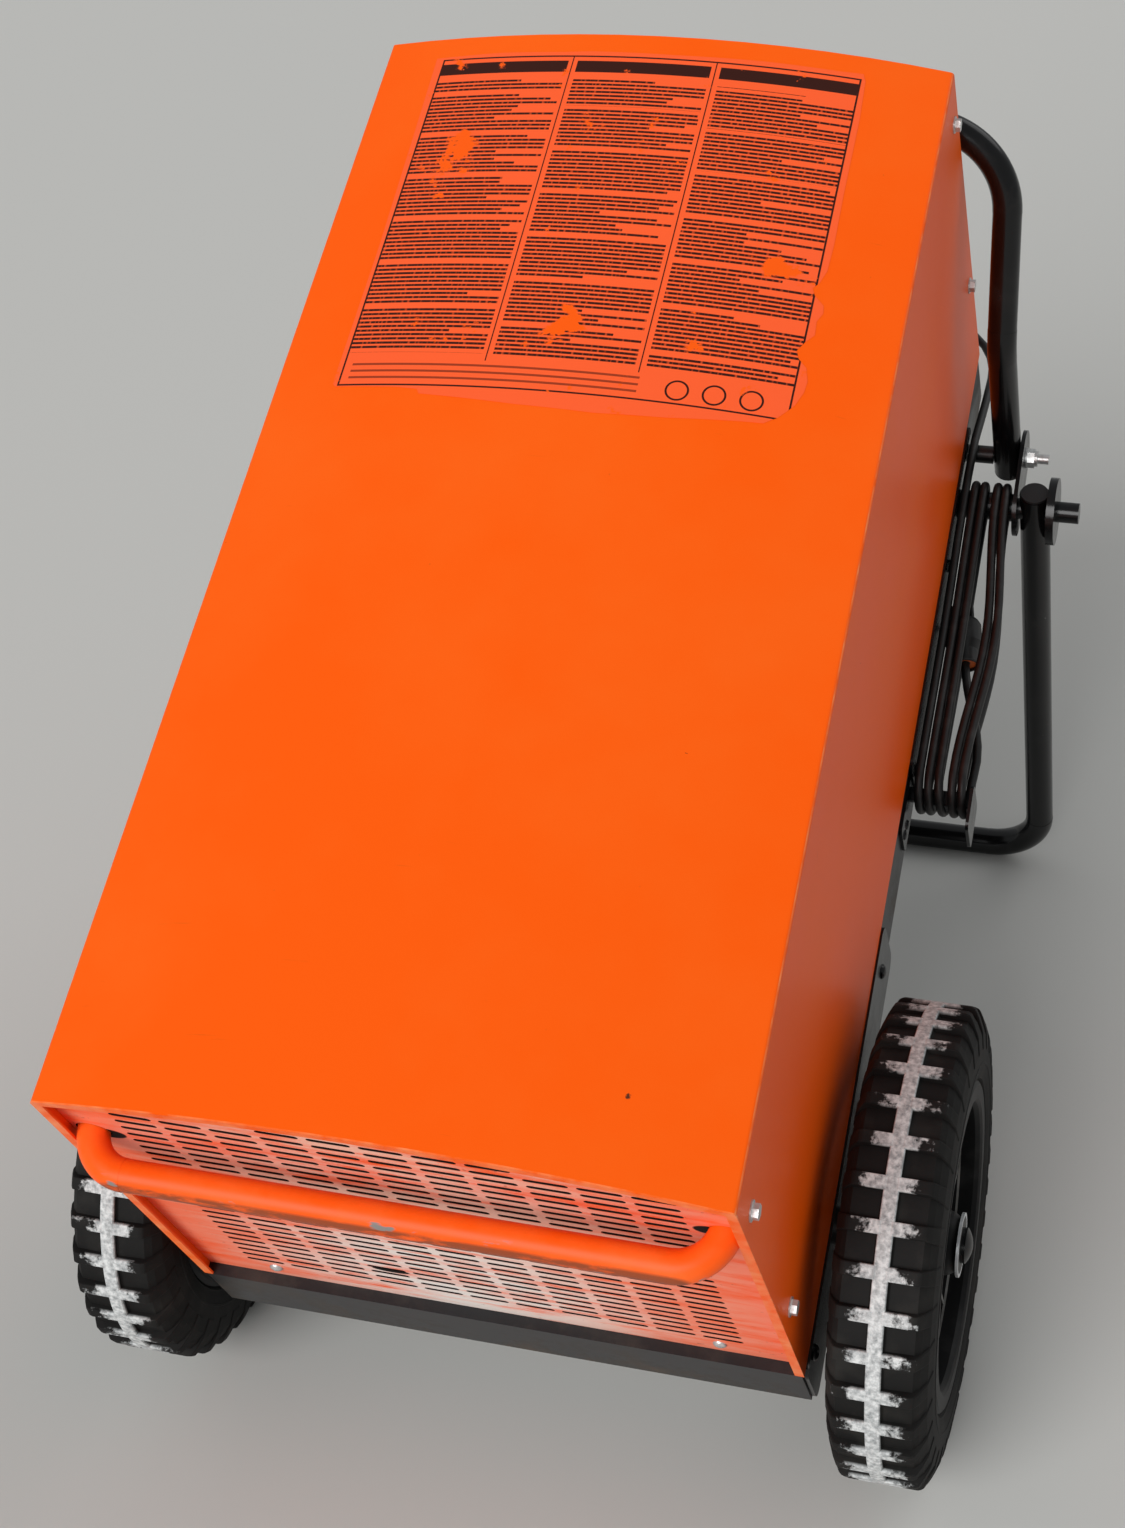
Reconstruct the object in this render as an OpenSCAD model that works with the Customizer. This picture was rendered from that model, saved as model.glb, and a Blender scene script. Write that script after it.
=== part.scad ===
// Wheeled building dryer: a tilted sheet-metal housing on an axle, a folding stand and a folding push handle.
// Millimetres. +Y runs from the grille end to the handle end, +Z is up, and the floor is Z = 0.
// Most modules are drawn in the housing's own level frame: X across, Y along it, Z up from the base pan's
// underside. on_machine() then tips that frame to the stance the dryer rests in.

/* [Housing] */
// Width of the housing across its sides
housing_w = 530; // [520:2:540]
// Length of the housing from the grille end to the handle end
housing_l = 1034; // [1020:2:1080]
// Height of the cover's long corners above the base pan's underside
corner_h = 502; // [490:1:530]
// Rise of the arched top above its long corners
crown = 30; // [20:1:40]
// Sheet thickness of the cover and the end panels
sheet = 2; // [1.5:0.25:2.5]
// Bend radius of the cover's long corners
corner_r = 4; // [3:0.5:8]
// Depth that the end panels sit behind the cover's edges
panel_recess = 10; // [6:1:14]
// Slope of the housing when it rests on its stand, in degrees
tilt = 28; // [26:1:29]

/* [Base pan] */
// Wall thickness of the base pan
pan_t = 3; // [2:0.5:4]
// Height of the pan that shows below the cover
pan_h = 75; // [70:1:80]
// Height of the pan wall that is tucked up inside the cover
pan_tuck = 25; // [15:1:35]
// Thickness of the black reinforcing plates on the pan's sides
plate_t = 4; // [3:0.5:5]
// Length of the near reinforcing plates
near_plate_l = 403; // [380:1:420]
// Length of the far reinforcing plates beyond the handle's pivot
far_plate_past = 15; // [14:1:20]
// Length of the far reinforcing plates
far_plate_l = 390; // [380:1:410]

/* [Grille] */
// Slots across the grille
grille_cols = 11; // [5:2:11]
// Slots from top to bottom of the grille
grille_rows = 26; // [10:1:26]
// Length of one slot
slot_l = 34; // [28:1:35]
// Height of one slot
slot_h = 6.5; // [4:0.5:8]
// Spacing of the slots across
slot_pitch_x = 40; // [38:0.5:42]
// Spacing of the slots up and down
slot_pitch_z = 14.3; // [12:0.1:14.4]
// Distance of the top row below the cover's long corners
slot_drop = 33; // [31:1:36]

/* [Front bar] */
// Diameter of the bar across the grille
bar_d = 25; // [20:1:28]
// Distance from the housing's side to the middle of the bar's end
bar_inset = 19; // [18:1:30]
// Distance of the bar's middle in front of the cover
bar_reach = 20; // [18:1:40]
// Distance of the bar below the cover's long corners
bar_drop = 80; // [60:1:100]

/* [Wheels] */
// Outer diameter of the tyre
wheel_d = 400; // [380:2:410]
// Width of the tyre at its sidewalls
tyre_w = 88; // [80:1:92]
// Clear distance between the side plates and the tyre
wheel_gap = 18; // [16:1:26]
// Diameter of the tyre's seat on the rim
seat_d = 248; // [240:2:256]
// Height of the tread lugs
lug_h = 6; // [4:0.5:8]
// Width of one tread lug around the tyre
lug_w = 11; // [9:0.5:14]
// Number of lugs around the tyre
lug_count = 36; // [30:1:40]
// Width of the rib round the middle of the tread
rib_w = 15; // [10:1:20]
// Number of spokes in the rim
spokes = 6; // [5:1:7]
// Diameter of the axle
axle_d = 20; // [18:1:22]
// Position of the axle along the housing
axle_y = 144; // [140:1:160]
// Height of the axle above the pan's underside
axle_z = 17; // [16:0.5:18]

/* [Push handle] */
// Tube diameter of the push handle
handle_d = 28; // [25:1:30]
// Clear distance between the side plates and the handle's legs
handle_gap = 24.5; // [24:0.5:27]
// Distance of the handle's pivot from the housing's far end
handle_inset = 99; // [94:1:104]
// Height of the handle's pivot above the pan's underside
handle_z = 40; // [36:1:42]
// Distance of the handle's knee beyond its pivot
knee_y = 13; // [8:1:20]
// Height of the handle's knee above its pivot
knee_z = 172; // [160:1:190]
// Distance of the grip beyond the pivot
grip_y = 138; // [132:1:160]
// Height of the grip above the pivot
grip_z = 347; // [330:1:360]

/* [Stand] */
// Tube diameter of the stand
stand_d = 30; // [26:1:32]
// Clear distance between the pivot plates and the stand's legs
leg_gap = 1; // [0.5:0.5:5]
// Distance of the stand's shaft from the housing's far end
stand_inset = 156; // [154:1:164]
// Height of the stand's shaft above the pan's underside
stand_z = 34; // [32:1:36]
// Lean of the stand's legs past plumb, in degrees
stand_lean = 17; // [14:1:20]
// Diameter of the stand's shaft
shaft_d = 21; // [19:1:22]
// Length that the shaft's ends stand out past the legs
stub_l = 29; // [20:1:32]
// Outer diameter of the sleeves that carry the shaft
sleeve_d = 28; // [27:1:30]

/* [Cord] */
// Diameter of the mains cord
cord_d = 8.5; // [8:0.1:8.5]
// Turns of cord wound between the sleeve and the hook
turns = 5; // [5:1:5]

/* [Hidden] */

$fn = 48;
eps = 0.5;             // how far a cutter runs past the face that it opens
slack = 0.3;           // clearance between pieces that only lie side by side
running = 0.05;        // radial clearance of a shaft in its bore
small_fn = 24;

orange = "#ff6a00";
black = "#1b1c1d";
dark = "#37393a";
zinc = "#b9bcbd";
rubber = "#262626";

half_w = housing_w / 2;
inner_half = half_w - sheet;
pan_half = inner_half;
plate_face = inner_half + plate_t;
crest_h = corner_h + crown;
arch_r = (half_w * half_w + crown * crown) / (2 * crown);
wall_top = pan_h + pan_tuck;
handle_y = housing_l - handle_inset;
stand_y = housing_l - stand_inset;
far_plate_y = handle_y + far_plate_past - far_plate_l;
track = 2 * (plate_face + wheel_gap) + tyre_w;
handle_span = 2 * (plate_face + handle_gap) + handle_d;
arm_in = handle_span / 2 + handle_d / 2 + 0.5;
arm_t = 4;
arm_out = arm_in + arm_t;
stand_span = 2 * (arm_out + leg_gap) + stand_d;

// ---- stance ------------------------------------------------------------------------------------
wheel_r = wheel_d / 2;
lift = wheel_r - axle_y * sin(tilt) - axle_z * cos(tilt);
shaft_height = lift + stand_y * sin(tilt) + stand_z * cos(tilt);
leg_angle = -90 - tilt + stand_lean;
leg_l = (shaft_height - stand_d / 2) / cos(stand_lean);
foot_y = stand_y * cos(tilt) - stand_z * sin(tilt) + leg_l * sin(stand_lean) + stand_d / 2;
shift = (crest_h * sin(tilt) - foot_y) / 2;

module on_machine() {
    translate([0, shift, lift]) rotate([tilt, 0, 0]) children();
}

// The child is drawn for the +X side, and side = -1 mirrors it to the other.
module on_side(side) {
    mirror([side < 0 ? 1 : 0, 0, 0]) children();
}

// A 2D outline in X and Z, drawn out along the housing from y0 to y1.
module along(y0, y1) {
    translate([0, y1, 0]) rotate([90, 0, 0]) linear_extrude(y1 - y0) children();
}

// A 2D outline in Y and Z, drawn out across the housing from x0 to x1.
module across(x0, x1) {
    translate([x0, 0, 0]) rotate([90, 0, 90]) linear_extrude(x1 - x0) children();
}

// A round bar or bore along X.
module bar_x(x0, x1, r, y = 0, z = 0) {
    translate([x0, y, z]) rotate([0, 90, 0]) cylinder(h = x1 - x0, r = r);
}

// A round bar or bore along Y.
module bar_y(y0, y1, r, x = 0, z = 0) {
    translate([x, y1, z]) rotate([90, 0, 0]) cylinder(h = y1 - y0, r = r);
}

// A low dome that stands on Z = 0.
module dome_head(r, h) {
    steps = 4;
    rotate_extrude($fn = small_fn) polygon(concat(
        [[0, 0]],
        [for (i = [0:steps]) [r * cos(90 * i / steps), h * sin(90 * i / steps)]]
    ));
}

module box(low, high) {
    translate(low) cube(high - low);
}

// ---- bent tube ---------------------------------------------------------------------------------
function unit(v) = v / norm(v);
function bend_angle(pts, i) = acos(min(1, unit(pts[i] - pts[i - 1]) * unit(pts[i + 1] - pts[i])));
function setback(pts, radii, i) =
    (i == 0 || i == len(pts) - 1) ? 0 : radii[i - 1] * tan(bend_angle(pts, i) / 2);

// Places the child's X, Y and Z along the unit vectors ax, ay and az at the point origin.
module frame_at(origin, ax, ay, az) {
    multmatrix([
        [ax.x, ay.x, az.x, origin.x],
        [ax.y, ay.y, az.y, origin.y],
        [ax.z, ay.z, az.z, origin.z],
        [0, 0, 0, 1]
    ]) children();
}

module straight_run(from, to, side, r) {
    dir = unit(to - from);
    frame_at(from, side, cross(dir, side), dir) cylinder(h = norm(to - from), r = r);
}

// The direction in which the bar bends at its inner corner i, square to the run that comes in or goes out.
function bend_side(pts, i, dir) =
    let (axis = cross(unit(pts[i] - pts[i - 1]), unit(pts[i + 1] - pts[i]))) unit(cross(axis, dir));

module bend(pts, radii, i, r) {
    into = unit(pts[i] - pts[i - 1]);
    out = unit(pts[i + 1] - pts[i]);
    axis = unit(cross(into, out));
    start = pts[i] - into * setback(pts, radii, i);
    inward = cross(axis, into);
    frame_at(start + inward * radii[i - 1], -inward, into, axis)
        rotate_extrude(angle = bend_angle(pts, i)) translate([radii[i - 1], 0]) circle(r);
}

// A round bar along the corner points, bent to its radius at each inner corner. Each bend is thicker than the
// straight runs by swell, as a bent tube is, and the runs reach into it by lap.
module bent_bar(pts, radii, r) {
    swell = 0.2;
    lap = 1.5;
    for (i = [0:len(pts) - 2]) {
        dir = unit(pts[i + 1] - pts[i]);
        from = pts[i] + dir * (i == 0 ? 0 : setback(pts, radii, i) - lap);
        to = pts[i + 1] - dir * (i == len(pts) - 2 ? 0 : setback(pts, radii, i + 1) - lap);
        straight_run(from, to, bend_side(pts, max(1, min(i + 1, len(pts) - 2)), dir), r);
    }
    for (i = [1:1:len(pts) - 2]) bend(pts, radii, i, r + swell);
}

function longer(pts, by) = concat(
    [pts[0] - unit(pts[1] - pts[0]) * by],
    [for (i = [1:len(pts) - 2]) pts[i]],
    [pts[len(pts) - 1] + unit(pts[len(pts) - 1] - pts[len(pts) - 2]) * by]
);

// The same bar as a tube with its ends open.
module bent_tube(pts, radii, r, wall) {
    difference() {
        bent_bar(pts, radii, r);
        bent_bar(longer(pts, eps), radii, r - wall);
    }
}

// ---- housing -----------------------------------------------------------------------------------
// The arched outline of the housing in X and Z, drawn in by inset, from the height low upwards.
module outline(inset, low) {
    r = arch_r - inset;
    fillet = max(corner_r - inset, 1);
    edge = half_w - inset;
    fillet_z = crest_h - arch_r + sqrt(pow(r - fillet, 2) - pow(edge - fillet, 2));
    touch = (edge - fillet) * r / (r - fillet);
    intersection() {
        translate([0, crest_h - arch_r]) circle(r, $fn = 360);
        translate([-touch, low]) square([2 * touch, crest_h - low]);
    }
    translate([-edge, low]) square([2 * edge, fillet_z - low]);
    for (x = [-1, 1]) translate([x * (edge - fillet), fillet_z]) circle(fillet);
}

cover_low = pan_h;
lip = 8;                     // depth of the edge turned in at each end of the cover
screw_inset = 20;
near_screw_drops = [53, 293];
far_screw_drops = [47, 285];
side_screws = concat(
    [for (drop = near_screw_drops) [screw_inset, corner_h - drop]],
    [for (drop = far_screw_drops) [housing_l - screw_inset, corner_h - drop]]
);
screw_r = 3;

module side_screw_holes(x0, x1) {
    for (p = side_screws) bar_x(x0, x1, screw_r, p[0], p[1], $fn = small_fn);
}

module cover() {
    color(orange) on_machine() difference() {
        union() {
            along(0, housing_l) difference() {
                outline(0, cover_low);
                outline(sheet, cover_low - eps);
            }
            for (y = [0, housing_l - sheet]) along(y, y + sheet) difference() {
                outline(sheet / 2, cover_low);
                outline(lip, cover_low - eps);
            }
        }
        side_screw_holes(-half_w - eps, half_w + eps);
    }
}

module side_screw(p) {
    head = 5;
    bar_x(inner_half - sheet - 6, half_w, screw_r, p[0], p[1], $fn = small_fn);
    bar_x(half_w, half_w + 1.2, 8, p[0], p[1], $fn = small_fn);
    bar_x(half_w + 1.2, half_w + 1.2 + head, 6.2, p[0], p[1], $fn = 6);
}

module cover_screws() {
    color(zinc) on_machine() for (side = [-1, 1]) on_side(side) for (p = side_screws) side_screw(p);
}

// ---- end panels --------------------------------------------------------------------------------
module slot() {
    square([slot_l - slot_h, slot_h], center = true);
    for (x = [-1, 1]) translate([x * (slot_l - slot_h) / 2, 0]) circle(slot_h / 2, $fn = small_fn);
}

// Rows of slots below the top row, with one more row above them over the middle columns.
module slot_field(cols, rows, top_z, crown_cols) {
    for (col = [0:cols - 1]) {
        x = (col - (cols - 1) / 2) * slot_pitch_x;
        first = abs(x) < crown_cols * slot_pitch_x / 2 ? -1 : 0;
        for (row = [first:rows - 1]) translate([x, top_z - row * slot_pitch_z]) slot();
    }
}

panel_y = panel_recess;
panel_back = panel_y + sheet;
flange_l = 28;               // depth of the side flanges that the cover is screwed to
flange_low = wall_top + 5;
flange_high = corner_h - 22;
panel_screw_x = half_w - 70;
panel_screw_z = corner_h - 406;
bar_z = corner_h - bar_drop;
bar_x_end = half_w - bar_inset;
bar_hole_r = bar_d / 2 + 1.5;

// The sheet of an end panel with its two side flanges, before anything is cut in it.
module panel_blank() {
    along(panel_y, panel_back) outline(sheet + slack, pan_h);
    for (side = [-1, 1]) on_side(side)
        box([inner_half - sheet, panel_y + eps, flange_low], [inner_half - running, panel_back + flange_l, flange_high]);
}

module panel_screw_holes(y0, y1) {
    for (x = [-panel_screw_x, panel_screw_x]) bar_y(y0, y1, screw_r, x, panel_screw_z, $fn = small_fn);
}

module front_panel() {
    color(orange) on_machine() difference() {
        panel_blank();
        along(panel_y - eps, panel_back + eps)
            slot_field(grille_cols, grille_rows, corner_h - slot_drop, 6);
        for (x = [-bar_x_end, bar_x_end]) bar_y(panel_y - eps, panel_back + eps, bar_hole_r, x, bar_z);
        panel_screw_holes(panel_y - eps, panel_back + eps);
        side_screw_holes(-half_w - eps, half_w + eps);
    }
}

outlet_cols = 9;
outlet_rows = 18;
outlet_drop = 60;
switch_x = -150;
switch_z = 146;
switch_w = 30;
switch_h = 22;

// Turns the far panel's side of the housing to face the handle end.
module far_end() {
    translate([0, housing_l, 0]) rotate([0, 0, 180]) children();
}

module rear_panel() {
    color(orange) on_machine() difference() {
        far_end() difference() {
            panel_blank();
            along(panel_y - eps, panel_back + eps)
                slot_field(outlet_cols, outlet_rows, corner_h - outlet_drop, 0);
            panel_screw_holes(panel_y - eps, panel_back + eps);
            box([switch_x - switch_w / 2, panel_y - eps, switch_z - switch_h / 2],
                [switch_x + switch_w / 2, panel_back + eps, switch_z + switch_h / 2]);
        }
        side_screw_holes(-half_w - eps, half_w + eps);
    }
}

module dome_screw(y) {
    bar_y(y, y + sheet + pan_t + 5, screw_r, $fn = small_fn);
    translate([0, y, 0]) rotate([90, 0, 0]) dome_head(6, 3.2);
}

module panel_screws() {
    color(zinc) on_machine() for (end = [0, 1]) for (x = [-panel_screw_x, panel_screw_x])
        translate([0, end * housing_l, 0]) rotate([0, 0, 180 * end])
            translate([x, 0, panel_screw_z]) dome_screw(panel_y);
}

// ---- front bar ---------------------------------------------------------------------------------
bar_bend = 36;
collar_t = 4;

module front_bar() {
    inner_end = panel_back + 30;
    pts = [
        [-bar_x_end, inner_end, bar_z],
        [-bar_x_end, -bar_reach, bar_z],
        [bar_x_end, -bar_reach, bar_z],
        [bar_x_end, inner_end, bar_z]
    ];
    color(orange) on_machine() {
        bent_bar(pts, [bar_bend, bar_bend], bar_d / 2);
        for (x = [-bar_x_end, bar_x_end])
            bar_y(panel_back, panel_back + collar_t, min(bar_d / 2 + 7, inner_half - bar_x_end - sheet - slack), x, bar_z);
    }
}

// ---- base pan ----------------------------------------------------------------------------------
lug_t = 3;
lug_back = panel_back + lug_t;
spigot_x = -120;
spigot_y = 60;
spigot_r = 8;
foot_r = 16;
compressor_x = -110;
compressor_y = 340;
compressor_r = 85;
foot_x = 62;
gland_x = 200;
gland_z = 45;
gland_r = 8;

// The inner lip and two upright lugs that hold an end panel.
module pan_end() {
    box([-pan_half, 0, 0], [pan_half, pan_t, pan_h - pan_t]);
    box([-pan_half, 0, pan_h - pan_t], [pan_half, panel_back + 16, pan_h]);
    for (x = [-panel_screw_x, panel_screw_x])
        box([x - 15, panel_back, pan_h - eps], [x + 15, lug_back, pan_h + 40]);
}

module base_pan() {
    color(dark) on_machine() difference() {
        union() {
            box([-pan_half, 0, 0], [pan_half, housing_l, pan_t]);
            for (side = [-1, 1]) on_side(side) {
                box([pan_half - pan_t, 0, 0], [pan_half, housing_l, pan_h]);
                box([pan_half - pan_t, lug_back, pan_h - eps], [pan_half, housing_l - lug_back, wall_top]);
            }
            pan_end();
            far_end() pan_end();
        }
        panel_screw_holes(panel_y, lug_back + eps);
        panel_screw_holes(housing_l - lug_back - eps, housing_l - panel_y);
        bar_x(-half_w, half_w, axle_d / 2 + running, axle_y, axle_z);
        bar_x(-half_w, half_w, shaft_d / 2 + 1, stand_y, stand_z);
        bar_x(-half_w, half_w, bolt_r + running, handle_y, handle_z);
        translate([spigot_x, spigot_y, -eps]) cylinder(h = pan_t + 2 * eps, r = spigot_r);
        bar_y(housing_l - pan_t - eps, housing_l + eps, gland_r, gland_x, gland_z);
        for (x = [-foot_x, foot_x]) for (y = [-foot_x, foot_x])
            translate([compressor_x + x, compressor_y + y, -eps]) cylinder(h = pan_t + 2 * eps, r = 4);
    }
}

// ---- side plates -------------------------------------------------------------------------------
plate_gap = 1;
plate_high = pan_h - plate_gap;
plate_r = 14;

// A flat plate with round corners in Y and Z.
module round_plate(y0, y1, z0, z1, r) {
    translate([y0 + r, z0]) square([y1 - y0 - 2 * r, z1 - z0]);
    translate([y0, z0 + r]) square([y1 - y0, z1 - z0 - 2 * r]);
    for (y = [y0 + r, y1 - r]) for (z = [z0 + r, z1 - r]) translate([y, z]) circle(r);
}

plate_bolts = [[26, 55], [370, 40]];
far_plate_bolts = [[14, 40], [240, 40]];

module plate_bolt(y, z) {
    translate([plate_face, y, z]) rotate([0, 90, 0]) dome_head(7, 4);
}

module near_plate(side) {
    color(black) on_machine() on_side(side) {
        difference() {
            across(inner_half, plate_face) round_plate(2, near_plate_l, -6, plate_high, plate_r);
            bar_x(inner_half - eps, plate_face + eps, axle_d / 2 + running, axle_y, axle_z);
        }
        for (p = plate_bolts) plate_bolt(p[0], p[1]);
    }
}

module far_plate(side) {
    color(black) on_machine() on_side(side) {
        difference() {
            across(inner_half, plate_face)
                round_plate(far_plate_y, far_plate_y + far_plate_l, 1, plate_high, plate_r);
            bar_x(inner_half - eps, plate_face + eps, shaft_d / 2 + 1, stand_y, stand_z);
            bar_x(inner_half - eps, plate_face + eps, bolt_r + running, handle_y, handle_z);
        }
        for (p = far_plate_bolts) plate_bolt(far_plate_y + p[0], p[1]);
    }
}

// ---- axle and wheels ---------------------------------------------------------------------------
hub_in = track / 2 - 38;
hub_out = track / 2 + 39;
collar_r = 16;
washer_r = 27;
washer_t = 2.4;
cap_r = 15;
cap_l = 9;

module axle() {
    end = hub_out + slack + washer_t;
    color(zinc) on_machine() {
        bar_x(-end, end, axle_d / 2, axle_y, axle_z);
        for (side = [-1, 1]) on_side(side) {
            bar_x(plate_face, hub_in - slack, collar_r, axle_y, axle_z);
            bar_x(hub_out + slack, end, washer_r, axle_y, axle_z);
        }
    }
}

module axle_cap(side) {
    start = hub_out + slack + washer_t;
    dome_r = cap_r * 1.6;
    color(black) on_machine() on_side(side) intersection() {
        bar_x(start, start + cap_l, cap_r, axle_y, axle_z);
        translate([start + cap_l - dome_r, axle_y, axle_z]) sphere(dome_r);
    }
}

// Stands the child's Z axis on the wheel's axis, with Z = 0 at the middle of the tyre.
module on_wheel(side) {
    on_machine() on_side(side) translate([track / 2, axle_y, axle_z]) rotate([0, 90, 0]) children();
}

seat_r = seat_d / 2;
flange_r = seat_r + 14;
rim_half = 41;
flange_t = 3.5;
barrel_t = 6;
disc_r = 53;
hub_r = 24;
web_low = 6;
web_high = 12;
spoke_w = 44;
rib_t = 3;

module rim(side) {
    window_r = seat_r - barrel_t - 4;
    color(black) on_wheel(side) {
        rotate_extrude($fn = 96) polygon([
            [seat_r - barrel_t, -rim_half],
            [flange_r - 4, -rim_half],
            [flange_r, -rim_half + 2],
            [flange_r, -rim_half + flange_t],
            [seat_r, -rim_half + flange_t],
            [seat_r, rim_half - flange_t],
            [flange_r, rim_half - flange_t],
            [flange_r, rim_half - 2],
            [flange_r - 3, rim_half],
            [seat_r - 1, rim_half],
            [seat_r - 4, rim_half - 2],
            [seat_r - barrel_t, rim_half - 6]
        ]);
        translate([0, 0, web_low]) linear_extrude(web_high - web_low) difference() {
            circle(seat_r - barrel_t, $fn = 96);
            difference() {
                circle(window_r, $fn = 96);
                circle(disc_r + 4, $fn = 96);
                for (i = [0:spokes - 1]) rotate(i * 360 / spokes)
                    translate([0, -spoke_w / 2]) square([seat_r, spoke_w]);
            }
            circle(axle_d / 2 + running);
        }
        for (i = [0:spokes - 1]) rotate(i * 360 / spokes) for (y = [-1, 1])
            translate([disc_r - 3, y * (spoke_w / 2 - rib_t / 2) - rib_t / 2, web_high])
                cube([seat_r - barrel_t - disc_r + 2, rib_t, 9]);
        translate([0, 0, web_high]) linear_extrude(10) difference() {
            circle(disc_r, $fn = 96);
            circle(disc_r - rib_t, $fn = 96);
        }
        rotate_extrude() polygon([
            [axle_d / 2 + running, hub_in - track / 2],
            [hub_r, hub_in - track / 2],
            [hub_r, web_low],
            [hub_r + 8, web_low],
            [hub_r + 8, web_high],
            [hub_r + 2, hub_out - track / 2 - 6],
            [hub_r - 2, hub_out - track / 2],
            [axle_d / 2 + running, hub_out - track / 2]
        ]);
    }
}

tread_half = 33;
bead_half = rim_half - flange_t - slack;
bead_r = seat_r + slack;
wall_r = flange_r + slack;
carcass_t = 9;
wall_steps = 8;
tread_r = wheel_r - lug_h;

// One side of the tyre's section from the bead to the tread's shoulder, drawn in by inset. It stands straight
// inside the rim's flange, and swells out to the tyre's width above it.
function sidewall(inset) = concat(
    [[bead_r - (inset > 0 ? eps : 0), bead_half - inset]],
    [
        for (i = [0:wall_steps])
            let (t = i / wall_steps, base = bead_half * (1 - t) + (tread_half + 2) * t)
            [
                wall_r + t * (wheel_r - 8 - wall_r - inset),
                base - inset + (tyre_w / 2 - bead_half + 0.9) * sin(180 * pow(t, 0.75))
            ]
    ]
);

function mirrored(pts) = [for (i = [len(pts) - 1:-1:0]) [pts[i].x, -pts[i].y]];

module tyre_section() {
    outer = sidewall(0);
    inner = sidewall(carcass_t);
    difference() {
        polygon(concat(
            outer,
            [[wheel_r - 2, tread_half], [wheel_r, tread_half - 4]],
            [[wheel_r, -tread_half + 4], [wheel_r - 2, -tread_half]],
            mirrored(outer)
        ));
        polygon(concat(
            inner,
            [[tread_r - carcass_t, tread_half - carcass_t], [tread_r - carcass_t, -tread_half + carcass_t]],
            mirrored(inner)
        ));
    }
}

module tyre(side) {
    pitch = 360 / lug_count;
    pocket = wheel_r * 2 * sin(pitch / 2) - lug_w;
    color(rubber) on_wheel(side) difference() {
        rotate_extrude($fn = 144) tyre_section();
        for (i = [0:lug_count - 1]) rotate(i * pitch) for (z = [rib_w / 2, -rib_w / 2 - tyre_w / 2])
            translate([tread_r, -pocket / 2, z]) cube([lug_h * 2, pocket, tyre_w / 2]);
    }
}

// ---- pivots of the handle and the stand --------------------------------------------------------
bolt_r = 5;
pivot_r = 28;

module pivot_sleeve(side) {
    color(black) on_machine() on_side(side) difference() {
        bar_x(plate_face, arm_in, sleeve_d / 2, stand_y, stand_z);
        bar_x(plate_face - eps, arm_in + eps, shaft_d / 2 + running, stand_y, stand_z);
    }
}

module pivot_plate(side) {
    reach = norm([handle_y - stand_y, handle_z - stand_z]);
    slope = atan2(handle_z - stand_z, handle_y - stand_y);
    color(black) on_machine() on_side(side) across(arm_in, arm_out)
        translate([stand_y, stand_z]) rotate(slope) difference() {
            union() {
                translate([0, -pivot_r]) square([reach, 2 * pivot_r]);
                circle(pivot_r);
                translate([reach, 0]) circle(pivot_r);
            }
            circle(shaft_d / 2 + 0.5);
            translate([reach, 0]) circle(bolt_r + running);
        }
}

spacer_r = 9;

module handle_bolt(side) {
    nut_l = 10;
    color(zinc) on_machine() on_side(side) {
        bar_x(pan_half - pan_t - 6.4, arm_out + 23, bolt_r, handle_y, handle_z);
        bar_x(pan_half - pan_t - 6.4, pan_half - pan_t, 9.8, handle_y, handle_z, $fn = 6);
        bar_x(plate_face, handle_span / 2 - handle_d / 2 - slack, spacer_r, handle_y, handle_z);
        bar_x(arm_out, arm_out + 2, 10.5, handle_y, handle_z);
        bar_x(arm_out + 2, arm_out + 2 + nut_l - 3, 9.8, handle_y, handle_z, $fn = 6);
        bar_x(arm_out + 2 + nut_l - 3, arm_out + 2 + nut_l, 8, handle_y, handle_z);
    }
}

// ---- push handle -------------------------------------------------------------------------------
handle_tail = 20;
handle_wall = 2;
handle_x = handle_span / 2;
knee_dir = unit([0, knee_y, knee_z]);
handle_pts = [
    [-handle_x, handle_y, handle_z] - knee_dir * handle_tail,
    [-handle_x, handle_y + knee_y, handle_z + knee_z],
    [-handle_x, handle_y + grip_y, handle_z + grip_z],
    [handle_x, handle_y + grip_y, handle_z + grip_z],
    [handle_x, handle_y + knee_y, handle_z + knee_z],
    [handle_x, handle_y, handle_z] - knee_dir * handle_tail
];

module handle() {
    color(black) on_machine() difference() {
        bent_tube(handle_pts, [60, 82, 82, 60], handle_d / 2, handle_wall);
        bar_x(-half_w - handle_span, half_w + handle_span, bolt_r + running, handle_y, handle_z);
    }
}

// A plastic plug that closes an open tube end, with its flange outside.
module tube_cap(point, dir, r, wall, rim_r) {
    side = unit(cross(dir, [1, 0, 0]));
    frame_at(point, side, cross(dir, side), dir) {
        cylinder(h = 2.5, r = rim_r);
        translate([0, 0, -8]) cylinder(h = 8, r = r - wall - slack / 2);
    }
}

module handle_caps() {
    color(rubber) on_machine() for (i = [0, len(handle_pts) - 1])
        tube_cap(handle_pts[i], -knee_dir, handle_d / 2, handle_wall, handle_d / 2);
}

// ---- stand -------------------------------------------------------------------------------------
stand_x = stand_span / 2;
stand_wall = 2.5;
stand_bend = 60;
leg_dir = [0, cos(leg_angle), sin(leg_angle)];
leg_top = 22;
shaft_end = stand_x + stand_d / 2 + stub_l;
boss_r = 34;
boss_t = 8;
boss_sunk = 1;               // depth of the bosses in the legs
stand_pts = [
    [-stand_x, stand_y, stand_z] - leg_dir * leg_top,
    [-stand_x, stand_y, stand_z] + leg_dir * leg_l,
    [stand_x, stand_y, stand_z] + leg_dir * leg_l,
    [stand_x, stand_y, stand_z] - leg_dir * leg_top
];

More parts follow.
